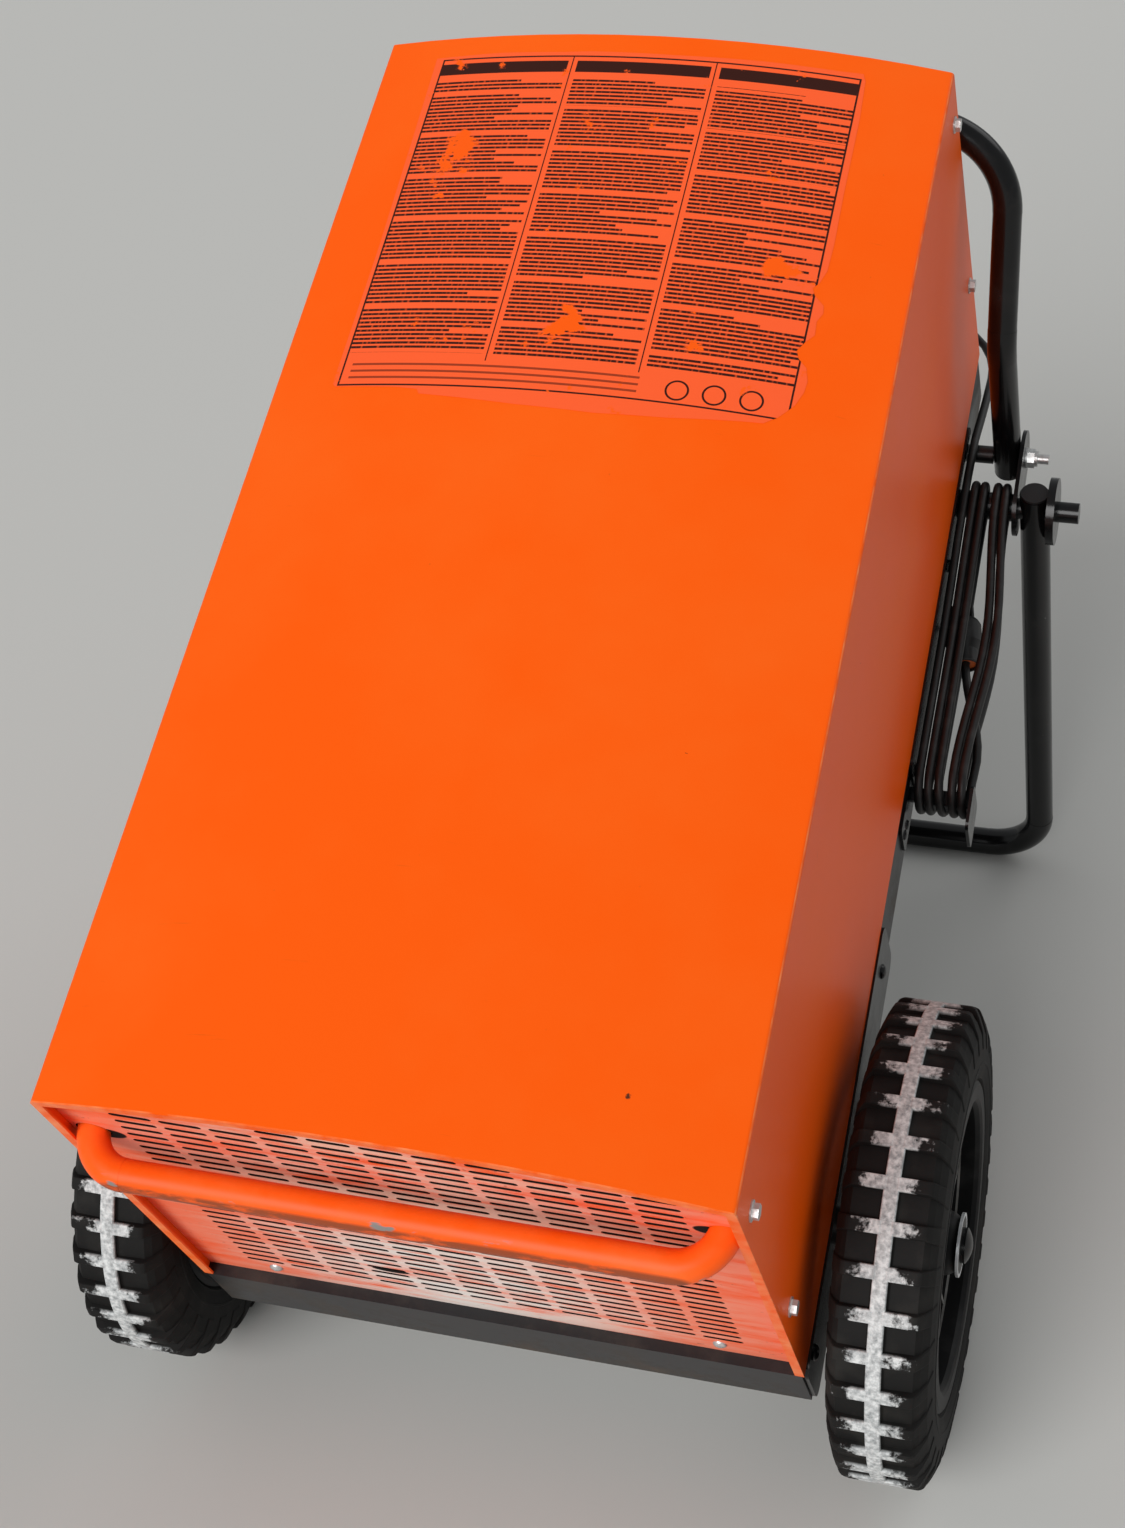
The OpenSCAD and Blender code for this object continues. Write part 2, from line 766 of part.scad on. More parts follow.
module stand_frame() {
    boss_x = stand_x + stand_d / 2 - boss_sunk;
    color(black) on_machine() difference() {
        union() {
            bent_tube(stand_pts, [stand_bend, stand_bend], stand_d / 2, stand_wall);
            for (side = [-1, 1]) on_side(side)
                bar_x(boss_x, boss_x + boss_t, boss_r, stand_y, stand_z);
        }
        bar_x(-shaft_end, shaft_end, shaft_d / 2, stand_y, stand_z);
    }
}

module stand_shaft() {
    color(black) on_machine() bar_x(-shaft_end, shaft_end, shaft_d / 2, stand_y, stand_z);
}

module leg_caps() {
    color(rubber) on_machine() for (i = [0, len(stand_pts) - 1])
        tube_cap(stand_pts[i], -leg_dir, stand_d / 2, stand_wall, stand_d / 2 - boss_sunk - slack);
}

// ---- cord --------------------------------------------------------------------------------------
cord_r = cord_d / 2;
fold_r = 26;                              // bend radius where the hank turns back
fold_far_y = stand_y + sleeve_d / 2 + cord_r + slack - fold_r;
fold_near_y = far_plate_y + 5;
hank_x = 272;
turn_pitch = 9.05;
group_gap = 4;                            // extra step between the inner and the outer group of turns
inner_turns = 3;
sag = 6;
sway = 10;                                // how far the outer group bows out halfway along
rings = 24;
arc_rings = 8;
run_rings = 4;
tube_sides = 6;

// Height and length of the winding at step i of a turn: the far fold, the top run, the near fold, the run back.
function turn_yz(i) =
    i <= arc_rings ? [fold_far_y + fold_r * cos(-90 + 180 * i / arc_rings), stand_z + fold_r * sin(-90 + 180 * i / arc_rings)]
    : i < arc_rings + run_rings
        ? let (s = (i - arc_rings) / run_rings)
          [fold_far_y + (fold_near_y - fold_far_y) * s, stand_z + fold_r - sag * pow(sin(180 * s), 2)]
    : i <= 2 * arc_rings + run_rings
        ? let (a = 90 + 180 * (i - arc_rings - run_rings) / arc_rings)
          [fold_near_y + fold_r * cos(a), stand_z + fold_r * sin(a)]
    : let (s = (i - 2 * arc_rings - run_rings) / run_rings)
      [fold_near_y + (fold_far_y - fold_near_y) * s, stand_z - fold_r - sag * pow(sin(180 * s), 2)];

// How far along a run step i lies, from 0 at a fold to 1 halfway and 0 at the next fold.
function bow(i) =
    i <= arc_rings ? 0
    : i < arc_rings + run_rings ? pow(sin(180 * (i - arc_rings) / run_rings), 2)
    : i <= 2 * arc_rings + run_rings ? 0
    : pow(sin(180 * (i - 2 * arc_rings - run_rings) / run_rings), 2);

// Smooth 0 to 1 step between the two groups, over the near fold of the last inner turn.
function group_step(j) =
    let (start = (inner_turns - 1) * rings + arc_rings + run_rings)
    min(1, max(0, (j - start) / arc_rings));

function hank_x_at(j) =
    hank_x + turn_pitch * (j - arc_rings) / rings + group_step(j) * (group_gap + sway * bow(j % rings));

function hank_point(j) = let (p = turn_yz(j % rings)) [hank_x_at(j), p[0], p[1]];

hank_from = arc_rings;
hank_to = (turns - 1) * rings + 2 * arc_rings + run_rings;
hank_start = hank_point(hank_from) + [0, cord_d, 0];
hank_end = hank_point(hank_to) + [0, cord_d, 0];

// The cord's stretch from the gland round the far corner to the hank, at heights above the pan's underside.
lead_points = [
    [200, 1060, 45],
    [200, 1071, 45],
    [202, 1085, 42.5],
    [208, 1097, 36],
    [219, 1105, 27],
    [233, 1107, 18.5],
    [247, 1102, 12.5],
    [259, 1091, 10],
    [267, 1077, 10.5],
    [271.5, 1061, 13.5],
    [273, 1043, 18.5],
    [273, 1022, 25],
    [273, 998, 33.5],
    [272.8, 976, 42],
    [272.4, 957, 49],
    [272, 943, 53.4],
    [272, 930, 55.3],
    [272, 912, 57.6],
    [272, 896, 59.6],
    [272, 888, 60]
];

// The stretch from the hank's outer turn to the plug that is tucked into it.
tail_points = [
    [316.7, 582, 8],
    [317.6, 592, 9.3],
    [318.6, 604, 12],
    [317.6, 618, 16],
    [314.5, 632, 20],
    [310, 646, 23.5],
    [305, 660, 25.8],
    [300.6, 674, 27],
    [297.3, 687, 27],
    [294.7, 700, 27]
];
lead_route = concat(lead_points, [hank_start]);
tail_route = concat([hank_end], tail_points);
hank_route = concat([hank_start], [for (j = [hank_from:hank_to]) hank_point(j)], [hank_end]);

function tangent(pts, i) =
    i == 0 ? unit(pts[1] - pts[0])
    : i == len(pts) - 1 ? unit(pts[i] - pts[i - 1])
    : unit(unit(pts[i] - pts[i - 1]) + unit(pts[i + 1] - pts[i]));

// A closed tube along the points, with its sections turned so that none twists against the next.
module swept_tube(pts, r, sides, ref) {
    n = len(pts);
    sections = [
        for (i = [0:n - 1])
            let (t = tangent(pts, i), a = unit(cross(ref, t)), b = cross(t, a))
            for (k = [0:sides - 1]) pts[i] + r * (a * cos(360 * k / sides) + b * sin(360 * k / sides))
    ];
    walls = [
        for (i = [0:n - 2]) for (k = [0:sides - 1])
            let (p = i * sides + k, q = i * sides + (k + 1) % sides)
            each [[p, p + sides, q + sides], [p, q + sides, q]]
    ];
    caps = [
        for (k = [1:sides - 2]) each [
            [0, k, k + 1],
            [(n - 1) * sides, (n - 1) * sides + k + 1, (n - 1) * sides + k]
        ]
    ];
    polyhedron(sections, concat(walls, caps));
}

// Least clear distance between stretches of the hank that lie at least a quarter turn apart.
function hank_gap() =
    let (fine = [for (j = [hank_from:0.5:hank_to]) hank_point(j)])
    min([for (i = [0:len(fine) - 1]) for (k = [i + 12:1:len(fine) - 1]) norm(fine[i] - fine[k])]) - cord_d;

module cord_lead() {
    color(black) on_machine() swept_tube(lead_route, cord_r, 10, [0, 0, 1]);
}

module cord_hank() {
    echo(hank_gap = hank_gap());
    color(black) on_machine() swept_tube(hank_route, cord_r, tube_sides, [1, 0, 0]);
}

module cord_tail() {
    color(black) on_machine() swept_tube(tail_route, cord_r, 10, [0, 0, 1]);
}

module cord_gland() {
    color(black) on_machine() translate([gland_x, housing_l, gland_z]) rotate([-90, 0, 0]) {
        translate([0, 0, -pan_t - 5]) cylinder(h = pan_t + 5, r = gland_r);
        translate([0, 0, -pan_t - 5]) cylinder(h = 5, r = gland_r + 4, $fn = 6);
        cylinder(h = 7, r = gland_r + 5, $fn = 6);
        translate([0, 0, 7]) cylinder(h = 9, r = gland_r + 1);
        translate([0, 0, 16]) cylinder(h = lead_points[0].y - housing_l - 16, r1 = gland_r + 1, r2 = 6);
    }
}

plug_l = 45;
ring_t = 3;

// Stands the child's Z axis on the plug, from the cord's end towards the pins.
module on_plug() {
    n = len(tail_points);
    dir = unit(tail_points[n - 1] - tail_points[n - 2]);
    side = unit(cross([0, 0, 1], dir));
    on_machine() frame_at(tail_points[n - 1], side, cross(dir, side), dir) children();
}

module plug() {
    color(black) on_plug() {
        rotate_extrude() polygon([
            [0, 0],
            [5, 0],
            [5, ring_t],
            [11.5, ring_t],
            [11.5, -ring_t],
            [13, -ring_t],
            [14, 1 - ring_t],
            [14, 12],
            [18, 20],
            [18, plug_l - 4],
            [16, plug_l],
            [0, plug_l]
        ]);
        for (x = [-9.5, 9.5]) translate([x, 0, plug_l - eps]) cylinder(h = 19 + eps, r = 2.4, $fn = small_fn);
    }
}

module plug_ring() {
    color("#c8622a") on_plug() difference() {
        cylinder(h = ring_t, r = 11.4);
        translate([0, 0, -eps]) cylinder(h = ring_t + 2 * eps, r = 5.1);
    }
}

// ---- cord hook ---------------------------------------------------------------------------------
hook_rivets = [[-36, 36], [-24, 33]];
hook_t = 3;
arm_half = 2;
blade_x = 322;

module cord_hook() {
    arm_y0 = fold_near_y - fold_r + cord_r + 2 * slack;
    arm_y1 = arm_y0 + 14;
    color(black) on_machine() {
        across(inner_half, inner_half + hook_t) round_plate(arm_y0 - 44, arm_y1 + 1, 14, 58, 6);
        box([inner_half + hook_t - eps, arm_y0, stand_z - arm_half], [blade_x + eps, arm_y1, stand_z + arm_half]);
        across(blade_x, blade_x + hook_t) round_plate(arm_y0 - 29, arm_y1 + 2, 6, 54, 8);
        for (p = hook_rivets) translate([inner_half + hook_t, arm_y0 + p[0], p[1]]) rotate([0, 90, 0]) dome_head(5, 2.5);
    }
}

// ---- cooling circuit, behind the grille --------------------------------------------------------
tray_y0 = 40;
tray_y1 = 182;
tray_z = 32;
tray_half = 230;
coil_half = 200;
coil_top = corner_h - 32;
coil_l = 48;
evaporator_y = 60;
condenser_y = 126;
fin_pitch = 10;
fin_t = 2;

// A block of upright fins on a solid back.
module coil(y0) {
    back = 8;
    translate([0, 0, tray_z + 2]) linear_extrude(coil_top - tray_z - 2) {
        translate([-coil_half, y0 + coil_l - back]) square([2 * coil_half, back]);
        for (x = [-coil_half:fin_pitch:coil_half - fin_t]) translate([x, y0]) square([fin_t, coil_l - back + eps]);
    }
}

module evaporator() {
    color("#b07a52") on_machine() coil(evaporator_y);
}

module condenser() {
    color("#9a6f50") on_machine() coil(condenser_y);
}

module drip_tray() {
    wall = 2;
    color(dark) on_machine() difference() {
        union() {
            box([-tray_half, tray_y0, tray_z], [tray_half, tray_y1, tray_z + 22]);
            for (y = [tray_y0 + 2, tray_y1 - 12]) box([-tray_half + 20, y, pan_t], [tray_half - 20, y + 8, tray_z + eps]);
        }
        box([-tray_half + wall, tray_y0 + wall, tray_z + wall], [tray_half - wall, tray_y1 - wall, tray_z + 30]);
        translate([spigot_x, spigot_y, 0]) cylinder(h = 2 * tray_z, r = spigot_r - 2);
    }
}

spigot_l = 25;

module drain_spigot() {
    color(rubber) on_machine() translate([spigot_x, spigot_y, 0]) difference() {
        union() {
            translate([0, 0, -spigot_l]) cylinder(h = spigot_l + tray_z, r = spigot_r);
            translate([0, 0, -3]) cylinder(h = 3, r = spigot_r + 6);
        }
        translate([0, 0, -spigot_l - eps]) cylinder(h = spigot_l + tray_z + 2 * eps, r = spigot_r - 2);
    }
}

can_low = pan_t + 15;
can_h = 240;
can_t = 5;
pipe_r = 6;
pipe_z = can_low + can_h + 60;
hot_z = 200;
pipe_x = coil_half + 26;

module compressor() {
    top = can_low + can_h;
    color(black) on_machine() translate([compressor_x, compressor_y, 0]) {
        translate([0, 0, can_low]) difference() {
            translate([-75, -75, 0]) cube([150, 150, 3]);
            translate([0, 0, -eps]) cylinder(h = 3 + 2 * eps, r = compressor_r - 22 - can_t);
        }
        translate([0, 0, can_low + 3]) rotate_extrude() polygon([
            [compressor_r - 20 - can_t, 0],
            [compressor_r - 20, 0],
            [compressor_r - 6, 6],
            [compressor_r, 20],
            [compressor_r, can_h - 45],
            [compressor_r - 8, can_h - 25],
            [compressor_r - 30, can_h - 9],
            [20, can_h - 3],
            [0, can_h - 3],
            [0, can_h - 3 - can_t],
            [20, can_h - 3 - can_t],
            [compressor_r - 30 - can_t, can_h - 9 - can_t],
            [compressor_r - 8 - can_t, can_h - 27],
            [compressor_r - can_t, can_h - 47],
            [compressor_r - can_t, 22],
            [compressor_r - 6 - can_t, 10]
        ]);
        translate([0, 0, top - 1]) cylinder(h = 9, r = pipe_r + 2);
        bar_x(0, compressor_r + 10, pipe_r + 2, 0, hot_z);
    }
}

module compressor_feet() {
    color(rubber) on_machine() for (x = [-foot_x, foot_x]) for (y = [-foot_x, foot_x])
        translate([compressor_x + x, compressor_y + y, 0]) {
            cylinder(h = pan_t + eps, r = 4 - running);
            translate([0, 0, pan_t]) cylinder(h = can_low - pan_t, r = foot_r);
        }
}

module suction_pipe() {
    y0 = evaporator_y + coil_l - 4;
    color("#b8693c") on_machine() bent_bar([
        [-coil_half, y0, pipe_z],
        [-pipe_x, y0, pipe_z],
        [-pipe_x, compressor_y, pipe_z],
        [compressor_x, compressor_y, pipe_z],
        [compressor_x, compressor_y, can_low + can_h + 8]
    ], [18, 30, 30], pipe_r);
}

module hot_gas_pipe() {
    y0 = condenser_y + coil_l - 4;
    color("#b8693c") on_machine() bent_bar([
        [coil_half, y0, hot_z],
        [pipe_x, y0, hot_z],
        [pipe_x, compressor_y, hot_z],
        [compressor_x + compressor_r + 10, compressor_y, hot_z]
    ], [18, 30], pipe_r);
}

// ---- fan and its bulkhead ----------------------------------------------------------------------
bulkhead_y = 600;
fan_z = 290;
throat_r = 185;
ring_front = 572;
ring_back = 620;
motor_r = 50;
motor_l = 90;
fan_shaft_r = 5;
blades = 5;

module bulkhead() {
    low_half = pan_half - pan_t - slack;
    color(zinc) on_machine() difference() {
        union() {
            along(bulkhead_y, bulkhead_y + sheet) {
                outline(sheet + slack, wall_top + slack);
                translate([-low_half, pan_t]) square([2 * low_half, wall_top]);
            }
            bar_y(ring_front, ring_back, throat_r + 3, 0, fan_z, $fn = 96);
        }
        bar_y(ring_front - eps, ring_back + eps, throat_r, 0, fan_z, $fn = 96);
    }
}

module fan_motor() {
    arm_w = 20;
    color(black) on_machine() {
        bar_y(ring_back + sheet, ring_back + motor_l, motor_r, 0, fan_z);
        bar_y(ring_front + 2, ring_back + sheet + eps, fan_shaft_r, 0, fan_z);
        for (a = [45, 135]) translate([0, ring_back, fan_z]) rotate([0, a, 0])
            translate([-throat_r - 3, 0, -arm_w / 2]) cube([2 * throat_r + 6, 3, arm_w]);
    }
}

module fan() {
    hub_front = ring_front + 8;
    hub_l = 24;
    color("#4a4d50") on_machine() translate([0, hub_front + hub_l / 2, fan_z]) rotate([-90, 0, 0]) difference() {
        union() {
            translate([0, 0, -hub_l / 2]) cylinder(h = hub_l, r = 40);
            for (i = [0:blades - 1]) rotate(i * 360 / blades) translate([36, 0, 0]) rotate([28, 0, 0])
                translate([0, -32, -1.5]) cube([throat_r - 46, 64, 3]);
        }
        cylinder(h = 2 * hub_l, r = fan_shaft_r + running, center = true);
    }
}

// ---- electrical parts --------------------------------------------------------------------------
module electrical_box() {
    low = [60, housing_l - 334, pan_t];
    high = low + [160, 140, 147];
    wall = [sheet, sheet, sheet];
    color("#c9cbcc") on_machine() difference() {
        box(low, high);
        box([low.x + sheet, low.y + sheet, low.z - eps], high - wall);
    }
}

module capacitor() {
    color("#d8d8d4") on_machine() translate([0, bulkhead_y - 130, pan_t]) {
        cylinder(h = 100, r = 20);
        cylinder(h = 8, r = 24);
        translate([0, 0, 100]) cylinder(h = 4, r = 14);
    }
}

bezel_wall = 2;
rocker_half = switch_w / 2 - bezel_wall - 0.4;
rocker_pin_y = panel_back + 4;
rocker_tilt = 8;

module switch_bezel() {
    rim_w = 5;
    color(black) on_machine() far_end() translate([switch_x, 0, switch_z]) difference() {
        union() {
            box([-switch_w / 2 - rim_w, panel_y - 3, -switch_h / 2 - rim_w],
                [switch_w / 2 + rim_w, panel_y, switch_h / 2 + rim_w]);
            box([-switch_w / 2 + running, panel_y - eps, -switch_h / 2 + running],
                [switch_w / 2 - running, panel_y + 20, switch_h / 2 - running]);
        }
        box([-switch_w / 2 + bezel_wall, panel_y - 3 - eps, -switch_h / 2 + bezel_wall],
            [switch_w / 2 - bezel_wall, panel_y + 18, switch_h / 2 - bezel_wall]);
        bar_x(-switch_w / 2 - eps, switch_w / 2 + eps, 1.5 + running, rocker_pin_y, 0, $fn = small_fn);
    }
}

module switch_rocker() {
    color("#2a2b2c") on_machine() far_end() translate([switch_x, rocker_pin_y, switch_z]) {
        bar_x(-switch_w / 2 + 0.5, switch_w / 2 - 0.5, 1.5, $fn = small_fn);
        rotate([rocker_tilt, 0, 0]) across(-rocker_half, rocker_half)
            polygon([[-10.6, -7.2], [-9.5, 0], [-10.6, 7.2], [-4, 6.2], [3, 3], [3, -3], [-4, -6.2]]);
    }
}

base_pan();
near_plate(-1);  // near_plate_left
near_plate(1);  // near_plate_right
far_plate(-1);  // far_plate_left
far_plate(1);  // far_plate_right
cover();
cover_screws();
front_panel();
rear_panel();
panel_screws();
front_bar();
axle();
axle_cap(-1);  // axle_cap_left
axle_cap(1);  // axle_cap_right
rim(-1);  // rim_left
rim(1);  // rim_right
tyre(-1);  // tyre_left
tyre(1);  // tyre_right
pivot_sleeve(-1);  // pivot_sleeve_left
pivot_sleeve(1);  // pivot_sleeve_right
pivot_plate(-1);  // pivot_plate_left
pivot_plate(1);  // pivot_plate_right
handle_bolt(-1);  // handle_bolt_left
handle_bolt(1);  // handle_bolt_right
handle();
handle_caps();
stand_frame();
stand_shaft();
leg_caps();
cord_hook();
cord_gland();
cord_lead();
cord_hank();
cord_tail();
plug();
plug_ring();
evaporator();
condenser();
drip_tray();
drain_spigot();
bulkhead();
fan_motor();
fan();
compressor();
compressor_feet();
electrical_box();
capacitor();
suction_pipe();
hot_gas_pipe();
switch_bezel();
switch_rocker();
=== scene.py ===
# %% [markdown]
# # A wheeled building dryer
# The machine dries rooms on building sites: a folded steel housing on a steel pan, carried by two big tyres,
# with a push handle, a folding stand and a mains cord that is stowed on its side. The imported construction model
# gives every part its place. This lesson adds finishes, and builds the shapes that need more detail.

import math

import bmesh
import bpy
from mathutils import Matrix, Vector


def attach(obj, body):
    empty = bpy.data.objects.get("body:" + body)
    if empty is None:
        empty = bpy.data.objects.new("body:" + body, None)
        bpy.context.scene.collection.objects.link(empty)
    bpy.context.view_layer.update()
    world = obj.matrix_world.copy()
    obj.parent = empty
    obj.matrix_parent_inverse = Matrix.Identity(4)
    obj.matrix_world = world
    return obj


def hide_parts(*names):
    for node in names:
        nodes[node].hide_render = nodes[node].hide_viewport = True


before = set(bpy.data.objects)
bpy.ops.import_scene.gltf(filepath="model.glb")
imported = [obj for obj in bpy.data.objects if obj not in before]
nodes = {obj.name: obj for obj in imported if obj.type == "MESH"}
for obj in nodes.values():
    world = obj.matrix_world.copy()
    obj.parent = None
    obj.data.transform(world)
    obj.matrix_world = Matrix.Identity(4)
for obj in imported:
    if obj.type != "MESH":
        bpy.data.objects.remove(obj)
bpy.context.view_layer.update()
print("loaded", len(nodes), "parts")

# %% [markdown]
# The housing leans back by 28 degrees while it rests on its stand. Everything on it is easier to place along its
# own length and height, so one function takes those, in millimetres, and gives the place in the scene in metres.
# A tilted parent object could do the same, but a finished piece has to lie at the origin with its place in its mesh.

# %% Places on the leaning machine
SLOPE = math.radians(28)
STANCE = Matrix.Translation((0, -0.345504, 0.117386)) @ Matrix.Rotation(SLOPE, 4, "X")
# The housing: its length, half its width, the height of the folds along its top, and how far the top arches up.
LENGTH = 1034
HALF_WIDTH = 265
FOLD_UP = 502
ARCH_RISE = 30


def place(x, along, up):
    """A point x across, along from the grille end and up from the pan's underside, all in millimetres."""
    return STANCE @ Vector((x / 1000, along / 1000, up / 1000))


print("far end of the housing:", place(0, LENGTH, FOLD_UP + ARCH_RISE))

# %% [markdown]
# The camera stands a little above the machine, in front of the grille and to its right, as a person would. It could
# be tipped further down to take all of the machine in. Its lens is shifted down by a fifth of the frame instead,
# which keeps upright lines from leaning together as much.

# %% Camera
camera_data = bpy.data.cameras.new("camera")
camera_data.lens = 60.45
camera_data.shift_x = -0.0654
camera_data.shift_y = -0.1963
camera = bpy.data.objects.new("camera", camera_data)
camera.location = (0.5909, -1.8228, 1.8499)
camera.rotation_euler = [math.radians(a) for a in (61.219, 2.365, 14.567)]
bpy.context.scene.collection.objects.link(camera)
bpy.context.scene.camera = camera
print("lens", camera_data.lens, "mm")

# %% [markdown]
# A finish is a small graph of shader nodes. One function adds any node with its settings and links. Another turns
# the hex colours that painters use into the linear numbers that light is reckoned in. Each finish could be written
# out in full, but the rest of the functions save the same lines in many of them: a plain start, two tones mixed by
# noise, the housing's own axes, and a mask between limits.

# %% Helpers for finishes


def linear(hex_colour):
    """An sRGB hex colour as linear red, green, blue and alpha."""
    parts = [int(hex_colour[i:i + 2], 16) / 255 for i in (1, 3, 5)]
    return [c / 12.92 if c <= 0.04045 else ((c + 0.055) / 1.055) ** 2.4 for c in parts] + [1.0]


def add(material, kind, inputs=None, into=None, **settings):
    """Adds a node. Each input is a number, a colour, a node or a node's output; into is a socket it feeds."""
    tree = material.node_tree
    node = tree.nodes.new("ShaderNode" + kind)
    for key, value in settings.items():
        setattr(node, key, value)
    for key, value in (inputs or {}).items():
        if isinstance(value, bpy.types.Node):
            value = next(output for output in value.outputs if output.enabled)
        if isinstance(value, bpy.types.NodeSocket):
            tree.links.new(value, node.inputs[key])
        else:
            node.inputs[key].default_value = value
    if into is not None:
        tree.links.new(next(output for output in node.outputs if output.enabled), into)
    return node


def finish(name, colour, roughness, metallic=0.0, gloss=0.5):
    """A new material with a plain shader: the material, its shader, and the place of each point in metres."""
    material = bpy.data.materials.new(name)
    material.use_nodes = True
    shader = material.node_tree.nodes["Principled BSDF"]
    shader.inputs["Base Color"].default_value = linear(colour)
    shader.inputs["Roughness"].default_value = roughness
    shader.inputs["Metallic"].default_value = metallic
    shader.inputs["Specular IOR Level"].default_value = gloss
    return material, shader, add(material, "TexCoord").outputs["Object"]


def two_tone(name, tones, roughness, scale, detail, share=(0.0, 1.0, 1.0), metallic=0.0):
    """A finish whose two tones noise mixes: the second's share grows to the last number between the first two."""
    material, shader, spot = finish(name, tones[0], roughness, metallic)
    noise = add(material, "TexNoise", {"Vector": spot, "Scale": scale, "Detail": detail})
    mixed = add(material, "MapRange", {
        "Value": noise, "From Min": share[0], "From Max": share[1], "To Max": share[2]})
    add(material, "Mix", {"Factor": mixed, "A": linear(tones[0]), "B": linear(tones[1])},
        shader.inputs["Base Color"], data_type="RGBA")
    return material, shader, spot


def axes_of(material, spot):
    """A place turned back to the leaning housing: its outputs are X across, Y along and Z up, in metres."""
    home = tuple(STANCE.inverted().translation)
    level = add(material, "Mapping", {"Vector": spot, "Rotation": (-SLOPE, 0, 0), "Location": home})
    return add(material, "SeparateXYZ", {"Vector": level}).outputs


def region(material, *limits):
    """A mask that is 1 where every value lies between its limits. Each entry is a value, a low and a high."""
    mask = 1.0
    for value, low, high in limits:
        for limit, operation in ((low, "GREATER_THAN"), (high, "LESS_THAN")):
            passed = add(material, "Math", {0: value, 1: limit}, operation=operation)
            mask = add(material, "Math", {0: mask, 1: passed}, operation="MULTIPLY")
    return mask


print("bright orange in linear light:", [round(c, 3) for c in linear("#ff5a00")])

# %% [markdown]
# The mains cord is 8.5 mm rubber cable. It leaves a gland at the far end, rounds the corner, sags along the side,
# and is wound five times between the stand's shaft and a hook. It could be a swept mesh. A curve with a round bevel
# suits it better, because the line of the curve is the cord's own centre line, which can be measured. The winding
# repeats a formula, so that its turns never touch.

# %% The cord's route
CORD_R = 4.25
SHAFT_UP = 34
FOLD_R = 26
FAR_FOLD = 870.55
NEAR_FOLD = 565
FOLD_STEPS = 8
RUN_STEPS = 4
TURN_STEPS = 2 * (FOLD_STEPS + RUN_STEPS)
TURNS = 5
FIRST_TURN_X = 272
TURN_PITCH = 9.05
SAG = 6


def wave(share):
    """0 at both ends of a run and 1 halfway."""
    return math.sin(math.pi * share) ** 2


def winding(step):
    """Where the cord is at a step of its winding: across, along and up."""
    i = step % TURN_STEPS
    sway = 0
    if i <= FOLD_STEPS:
        a = math.radians(-90 + 180 * i / FOLD_STEPS)
        along, up = FAR_FOLD + FOLD_R * math.cos(a), SHAFT_UP + FOLD_R * math.sin(a)
    elif i < FOLD_STEPS + RUN_STEPS:
        share = (i - FOLD_STEPS) / RUN_STEPS
        sway = wave(share)
        along, up = FAR_FOLD + (NEAR_FOLD - FAR_FOLD) * share, SHAFT_UP + FOLD_R - SAG * sway
    elif i <= 2 * FOLD_STEPS + RUN_STEPS:
        a = math.radians(90 + 180 * (i - FOLD_STEPS - RUN_STEPS) / FOLD_STEPS)
        along, up = NEAR_FOLD + FOLD_R * math.cos(a), SHAFT_UP + FOLD_R * math.sin(a)
    else:
        share = (i - 2 * FOLD_STEPS - RUN_STEPS) / RUN_STEPS
        sway = wave(share)
        along, up = NEAR_FOLD + (FAR_FOLD - NEAR_FOLD) * share, SHAFT_UP - FOLD_R - SAG * sway
    # From the middle of the third turn on, the runs lie 4 mm further out and bow by 10 mm more.
    outer = min(1, max(0, (step - 2 * TURN_STEPS - FOLD_STEPS - RUN_STEPS) / FOLD_STEPS))
    across = FIRST_TURN_X + TURN_PITCH * (step - FOLD_STEPS) / TURN_STEPS + outer * (4 + 10 * sway)
    return across, along, up


lead = [
    (200, 1060, 45), (200, 1071, 45), (202, 1085, 42.5), (208, 1097, 36), (219, 1105, 27), (233, 1107, 18.5),
    (247, 1102, 12.5), (259, 1091, 10), (267, 1077, 10.5), (271.5, 1061, 13.5), (273, 1043, 18.5), (273, 1022, 25),
    (273, 998, 33.5), (272.8, 976, 42), (272.4, 957, 49), (272, 943, 53.4), (272, 930, 55.3), (272, 912, 57.6),
    (272, 896, 59.6), (272, 888, 60),
]
last_step = (TURNS - 1) * TURN_STEPS + 2 * FOLD_STEPS + RUN_STEPS
wound = [winding(FOLD_STEPS + k / 4) for k in range(4 * (last_step - FOLD_STEPS) + 1)]
tail = [
    (316.7, 582, 8), (317.6, 592, 9.3), (318.6, 604, 12), (317.6, 618, 16), (314.5, 632, 20),
    (310, 646, 23.5), (305, 660, 25.8), (300.6, 674, 27), (297.3, 687, 27), (294.7, 700, 27),
]
route = [place(*p) for p in lead + wound + tail]

# %% The cord
cord_data = bpy.data.curves.new("mains_cord", "CURVE")
cord_data.dimensions = "3D"
cord_data.bevel_depth = 1.0  # Each point's radius scales this.
cord_data.bevel_resolution = 4
cord_data.use_fill_caps = True
line = cord_data.splines.new("POLY")
line.points.add(len(route) - 1)
for point, where in zip(line.points, route):
    point.co = (*where, 1)
    point.radius = CORD_R / 1000
mains_cord = bpy.data.objects.new("mains_cord", cord_data)
bpy.context.scene.collection.objects.link(mains_cord)
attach(mains_cord, "root")
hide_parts("cord_lead", "cord_hank", "cord_tail")
print("cord points:", len(line.points))

# %% [markdown]
# The stage is a pale floor, a pale sky and two soft lamps. The stronger lamp stands in front and to the left, like a
# wide window, so the top and the grille are bright and the right side is in shade. They could be panels of light
# near the machine. Suns with a wide, soft disc are simpler, and they light every view alike.

